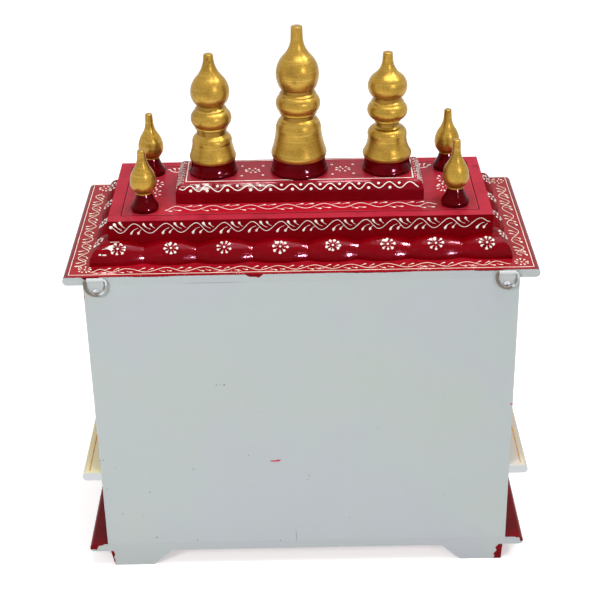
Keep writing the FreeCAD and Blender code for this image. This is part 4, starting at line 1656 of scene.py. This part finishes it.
@dataclass
class Crown(Ornament):
    """Upper tier: a block with a rounded rim, edged in cream, in millimetres.

    Crests, troughs and ends are those of the waving line on a long edge, with their places down
    the edge's arc. Each flower on top has the same dots round it.
    """

    radius: float = 7.8
    line_inset: float = 8.5
    crests: tuple = (-90.4, -76.8, -59.9, -40.9, -24.5, -6.4, 9, 25.1, 41, 56.5, 74, 91)
    troughs: tuple = (-83.4, -67.4, -51, -32.3, -14.5, 1.4, 17.4, 33.4, 49.4, 65.6, 82.6)
    crest_arc: float = -4.8
    trough_arc: float = -10.0
    near_end: tuple = ((-99.5, -7.4), (-96.5, -8.4))
    far_end: Place = (99.2, -9.6)
    stem: float = 0.45
    flowers: tuple = (-39.2, 36.5)
    dots: tuple = ((-9, 9.6), (8.8, 9.4), (-8.8, -11), (8.8, -10.2))
    streak: tuple = ((-7.5, 8.2), (0.5, 8.2))

    def build(self) -> None:
        """Dress the block and lay its ornament."""
        coat(CrownLacquer("crown_lacquer", wear=0.35, roughness=0.24, top=0.6, shine=0.09,
                          flatness=(0.9, 0.995)).build(), "upper_tier")
        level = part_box("upper_tier")[1].z
        for side in Side:
            half, reach = side.extent("upper_tier")
            end = half / MM - self.line_inset
            width = 0.45 if side.long else 0.6
            self.relief.run(side.top(reach, level), (-end, self.line_inset),
                            (end, self.line_inset), width, self.dice)
            skin = side.edge(reach, level, self.radius * MM)
            if side.long:
                self.wave(skin)
            else:
                self.lace(skin, half / MM - 7)
        top = Side.BACK.top(0, level)
        for across in self.flowers:
            Flower(5.8, 4.6, 8, 1.05, 0.7).draw(self.relief, top, across, 0, self.dice)
            for dot in self.dots:
                self.relief.dot(top, across + dot[0], dot[1], 1.15)
        self.relief.run(Side.BACK.top_of("upper_tier"), *self.streak, 0.85, self.dice)
        self.relief.build("crown_ornament", self.cream)

    def wave(self, skin: RoundEdge) -> None:
        """Lay the waving line of a long edge, with a dot in each hollow.

        Args:
            skin: surface of the edge.
        """
        turns = list(self.near_end)
        for index, crest in enumerate(self.crests):
            turns.append((crest, self.crest_arc + self.dice.uniform(-0.4, 0.4)))
            if index < len(self.troughs):
                turns.append((self.troughs[index], self.trough_arc + self.dice.uniform(-0.4, 0.4)))
        turns.append(self.far_end)
        steps = 8
        path = []
        for (here, low), (there, high) in zip(turns, turns[1:]):
            for step in range(steps):
                ease = (1 - math.cos(math.pi * step / steps)) / 2
                path.append((here + (there - here) * step / steps, low + (high - low) * ease))
        self.relief.line(skin, path, self.stem)
        for across in self.crests[:-1]:
            self.relief.dot(skin, across + 0.5, self.crest_arc - 4.6, 1.3)
        for across in self.troughs:
            self.relief.dot(skin, across - 0.4, self.trough_arc + 4.4, 1.2)

    def lace(self, skin: RoundEdge, half: float) -> None:
        """Lay the small loops and dots of a short edge.

        Args:
            skin: surface of the edge.
            half: half length of the row of loops.
        """
        count = 9
        for index in range(count):
            across = -half + 2 * half * (index + 0.5) / count + self.dice.uniform(-0.6, 0.6)
            wide, tall = self.dice.uniform(1.3, 2.1), self.dice.uniform(1.5, 2.4)
            level = -5.2 + self.dice.uniform(-0.7, 0.7)
            loop = [(across + wide * math.cos(turn), level + tall * math.sin(turn))
                    for turn in (math.tau * step / 10 for step in range(10))]
            self.relief.line(skin, loop, 0.3, closed=True)
            self.relief.dot(skin, across + half / count, level + 3.4, 0.55)
            self.relief.dot(skin, across + half / count, level - 3.6, 0.6)
            self.relief.drop(skin, (across, level - 2.8), (across + 0.6, level - 5), 0.6)


@dataclass
class Spires:
    """Turned and gilded spires on lacquered feet."""

    marks: dict = field(default_factory=lambda: {
        "spire_centre": ((3, 17.3, 420, 2.6, 0.35), (4.5, 19.5, 360.5, 0.9, 0.85),
                         (1, 17, 425, 1.6, 0.3)),
        "spire_right": ((73, 5, 437, 2.2, 0.5), (70.5, 5, 434, 1.6, 0.6), (73, 6, 431, 1.2, 0.5)),
    })

    # Grooves of each neck that take a painted shade, as (low, high) over the spire's base.
    shaded_necks: dict = field(default_factory=lambda: {
        "spire_centre": ((34.1, 36.7), (55.9, 58.9)),
        "spire_left": ((27.4, 30), (49.4, 51.8)),
        "spire_right": ((22.9, 26.7), (46, 48)),
    })

    def build(self) -> None:
        """Gild the spires and lacquer their feet."""
        spires = sorted(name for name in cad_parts
                        if name.startswith("spire") and "foot" not in name)
        for name in spires:
            blush = {"spire_front_left": 0.85, "spire_front_right": 0.4}.get(name, 0.12)
            finish = Gilding(name.replace("spire", "gilding"), base=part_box(name)[0].z / MM,
                             blush=blush, shaded_necks=self.shaded_necks.get(name, ()),
                             marks=self.marks.get(name, ()))
            coat(finish.build(), name)
        finish = Lacquer("foot_lacquer", colour=(0.078, 0.0, 0.001), roughness=0.1, wear=0.25,
                         shine=0.07)
        coat(finish.build(), *(name.replace("spire", "spire_foot") for name in spires))


@dataclass
class Cabinet(Ornament):
    """White-backed niche and lower storey between the boards, and the feet, in millimetres."""

    margin: float = 6
    vine_inset: float = 15
    flower_pitch: float = 44
    arch_half: float = 148
    arch_pitch: float = 9
    arch_flower: float = 132

    def build(self) -> None:
        """Dress the body's boards."""
        coat(PanelPaint("back_paint").build(), "back_panel")
        coat(BackedLacquer("base_lacquer", level=23.0, ragged=0.0, sags=(
            (189.5, 6, 5.4), (184, 3.4, 1.6), (180.6, 1.6, 1), (-191, 3, 4.6), (-188.6, 1.4, 1),
            (-186, 1.6, 0.8)), half=200).build(), "base_board")
        coat(LinedCream("shelf_paint", colour=(0.93, 0.87, 0.5), pale=(0.95, 0.91, 0.62)).build(),
             "shelf_board")
        red = Lacquer().build()
        coat(red, "base_side_left", "base_side_right", "base_front", "foot_front_left",
             "foot_front_right")
        coat(FootPaint("foot_paint_left", side=-1, edge=165.6, lean=0.24, scallop=1.4).build(),
             "foot_back_left")
        coat(FootPaint("foot_paint_right", side=1, edge=170.6, scallop=0.8).build(),
             "foot_back_right")
        self.front(red)
        self.relief.build("front_ornament", self.cream)

    def front(self, red: bpy.types.Material) -> None:
        """Dress the niche's walls, columns and arch, and the panel below it.

        Args:
            red: lacquer of the boards.
        """
        coat(LinedWall("wall_paint").build(), "side_wall_left", "side_wall_right")
        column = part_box("column_left")
        low, high = column[0].z / MM, column[1].z / MM
        coat(BandedLacquer("column_lacquer", bands=(
            (low + 26, low + 33), (low + 76, low + 80), (high - 27, high - 20),
            (low + 2, low + 4), (high - 4, high - 2))).build(), "column_left", "column_right")
        coat(red, "front_arch")
        reach = Side.FRONT.extent("base_front")[1]
        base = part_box("base_front")
        skin = Side.FRONT.wall(reach, base[0].z)
        tall = (base[1].z - base[0].z) / MM
        low, high = self.margin, tall - self.margin
        half = base[1].x / MM - self.margin
        for up in (low, high):
            self.relief.run(skin, (-half, up), (half, up), 0.5, self.dice)
        for across in (-half, half):
            self.relief.run(skin, (across, low), (across, high), 0.5, self.dice)
        vine = LowerTier.wall_vine
        for up in (self.vine_inset, tall - self.vine_inset):
            vine.draw(self.relief, skin, vine.turns(-half + 8, half - 8, up), self.dice)
        for index in range(-3, 4):
            Flower(8, 8, 10, 1.5, 1.3).draw(self.relief, skin, index * self.flower_pitch,
                                            tall / 2, self.dice)
        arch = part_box("front_arch")
        skin = Side.FRONT.wall(-arch[0].y, arch[0].z)
        top = (arch[1].z - arch[0].z) / MM
        self.relief.run(skin, (-self.arch_half, top - 3), (self.arch_half, top - 3), 0.5,
                        self.dice)
        for index in range(-16, 17):
            self.relief.dot(skin, index * self.arch_pitch, top - 6.5, 1)
        for across in (-self.arch_flower, self.arch_flower):
            Flower(7, 7, 8, 1.4, 1.1).draw(self.relief, skin, across, top - 20, self.dice)


@dataclass(frozen=True)
class LinedWall(Lacquer):
    """Side wall, lacquered outside and cream towards the niche."""

    inner: float = 168.3
    cream: Colour = (0.72, 0.68, 0.52)

    def marked(self, shader: Shader, colour: bpy.types.NodeSocket) -> bpy.types.NodeSocket:
        """Colour with the cream inner face."""
        inside = shader.x.size().ramp(self.inner * MM, (self.inner - 0.3) * MM)
        return shader.mix(inside, colour, self.cream)


@dataclass
class Hangers:
    """Ring hangers: painted straps, worn rings and a slotted screw in each, in millimetres."""

    head_radius: float = 2.9
    head_height: float = 1.0
    slot_half: float = 0.36
    slot_depth: float = 0.55
    screw_up: float = 275.4
    strap_face: float = 96.6
    shank_radius: float = 1.5
    shank_length: float = 1.5

    def build(self) -> None:
        """Dress the straps and rings, and drive the screws."""
        screw_steel = Zinc("screw_steel", colour=(0.62, 0.63, 0.66), covered=0.12).build()
        for side, turn in (("left", 0.5), ("right", -0.9)):
            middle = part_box(f"hanger_strap_{side}")
            across = (middle[0].x + middle[1].x) / 2 / MM
            strap = Zinc(f"strap_paint_{side}", paint=(0.47, 0.49, 0.49), covered=0.86)
            coat(strap.build(), f"hanger_strap_{side}")
            ring = Zinc(f"ring_paint_{side}", colour=(0.36, 0.34, 0.31), covered=0.56,
                        middle=(across - 1, 282), worn=0.9)
            coat(ring.build(), f"hanger_ring_{side}")
            self.screw(f"screw_{side}", across, turn, screw_steel)

    def screw(self, name: str, across: float, turn: float, steel: bpy.types.Material) -> None:
        """Make one screw: a low dome with a slot, over a shank that fills the strap's hole.

        Args:
            name: the piece's name.
            across: its place along the back, in millimetres.
            turn: angle of its slot.
            steel: its finish.
        """
        edge = self.head_radius * 0.995
        outer = [edge * step / 5 for step in (2, 3, 4, 4.6, 5)]
        inner = [self.slot_half, self.slot_half + 0.05, 0.8]
        lanes = sorted([-value for value in outer[1:] + inner] + outer[1:] + inner)
        rows = 12
        points, faces = [], []

        def put(lane: float, row: float, lift: float) -> None:
            """Add a point of the screw.

            Args:
                lane: place across the slot.
                row: place along the slot.
                lift: height over the strap.
            """
            spun = (lane * math.cos(turn) - row * math.sin(turn),
                    lane * math.sin(turn) + row * math.cos(turn))
            points.append(Vector((across - spun[0], self.strap_face + lift,
                                  self.screw_up + spun[1])) * MM)

        for lane in lanes:
            reach = math.sqrt(max(self.head_radius ** 2 - lane ** 2, 0.0))
            for step in range(rows + 1):
                row = -reach * math.cos(math.pi * step / rows)
                off = (lane ** 2 + row ** 2) / self.head_radius ** 2
                lift = self.head_height * (0.45 + 0.55 * math.sqrt(max(0.0, 1 - off)))
                if abs(lane) <= self.slot_half:
                    lift = min(lift, self.head_height - self.slot_depth)
                put(lane, row, lift)
        for lane in range(len(lanes) - 1):
            for step in range(rows):
                low = lane * (rows + 1) + step
                faces.append((low, low + 1, low + rows + 2, low + rows + 1))
        rim = list(range(rows + 1))
        rim += [lane * (rows + 1) + rows for lane in range(1, len(lanes))]
        rim += [(len(lanes) - 1) * (rows + 1) + step for step in range(rows - 1, -1, -1)]
        rim += [lane * (rows + 1) for lane in range(len(lanes) - 2, 0, -1)]
        skirt = len(points)
        for index in rim:
            points.append(Vector((points[index].x, self.strap_face * MM, points[index].z)))
        shank = len(points)
        for index in rim:
            offset = Vector((points[index].x - across * MM, 0,
                             points[index].z - self.screw_up * MM))
            spread = offset.normalized() * self.shank_radius * MM
            points.append(Vector((across * MM, (self.strap_face - self.shank_length) * MM,
                                  self.screw_up * MM)) + spread)
        count = len(rim)
        for index in range(count):
            following = (index + 1) % count
            faces.append((rim[index], skirt + index, skirt + following, rim[following]))
            faces.append((skirt + index, shank + index, shank + following, skirt + following))
        faces.append(tuple(shank + index for index in range(count)))
        seat(name, points, faces, steel)


def main() -> None:
    """Build the scene in order."""
    Studio().build()
    cream = Cream("ornament_cream").build()
    pale = Cream("ornament_pale", colour=(0.78, 0.75, 0.66), pale=(0.86, 0.85, 0.81)).build()
    Cabinet(cream, random.Random(11)).build()
    Roof(cream, random.Random(23)).build()
    Petals(pale, random.Random(37)).build()
    LowerTier(pale, random.Random(41)).build()
    Crown(pale, random.Random(53)).build()
    Spires().build()
    Hangers().build()


if __name__ == "__main__":
    main()
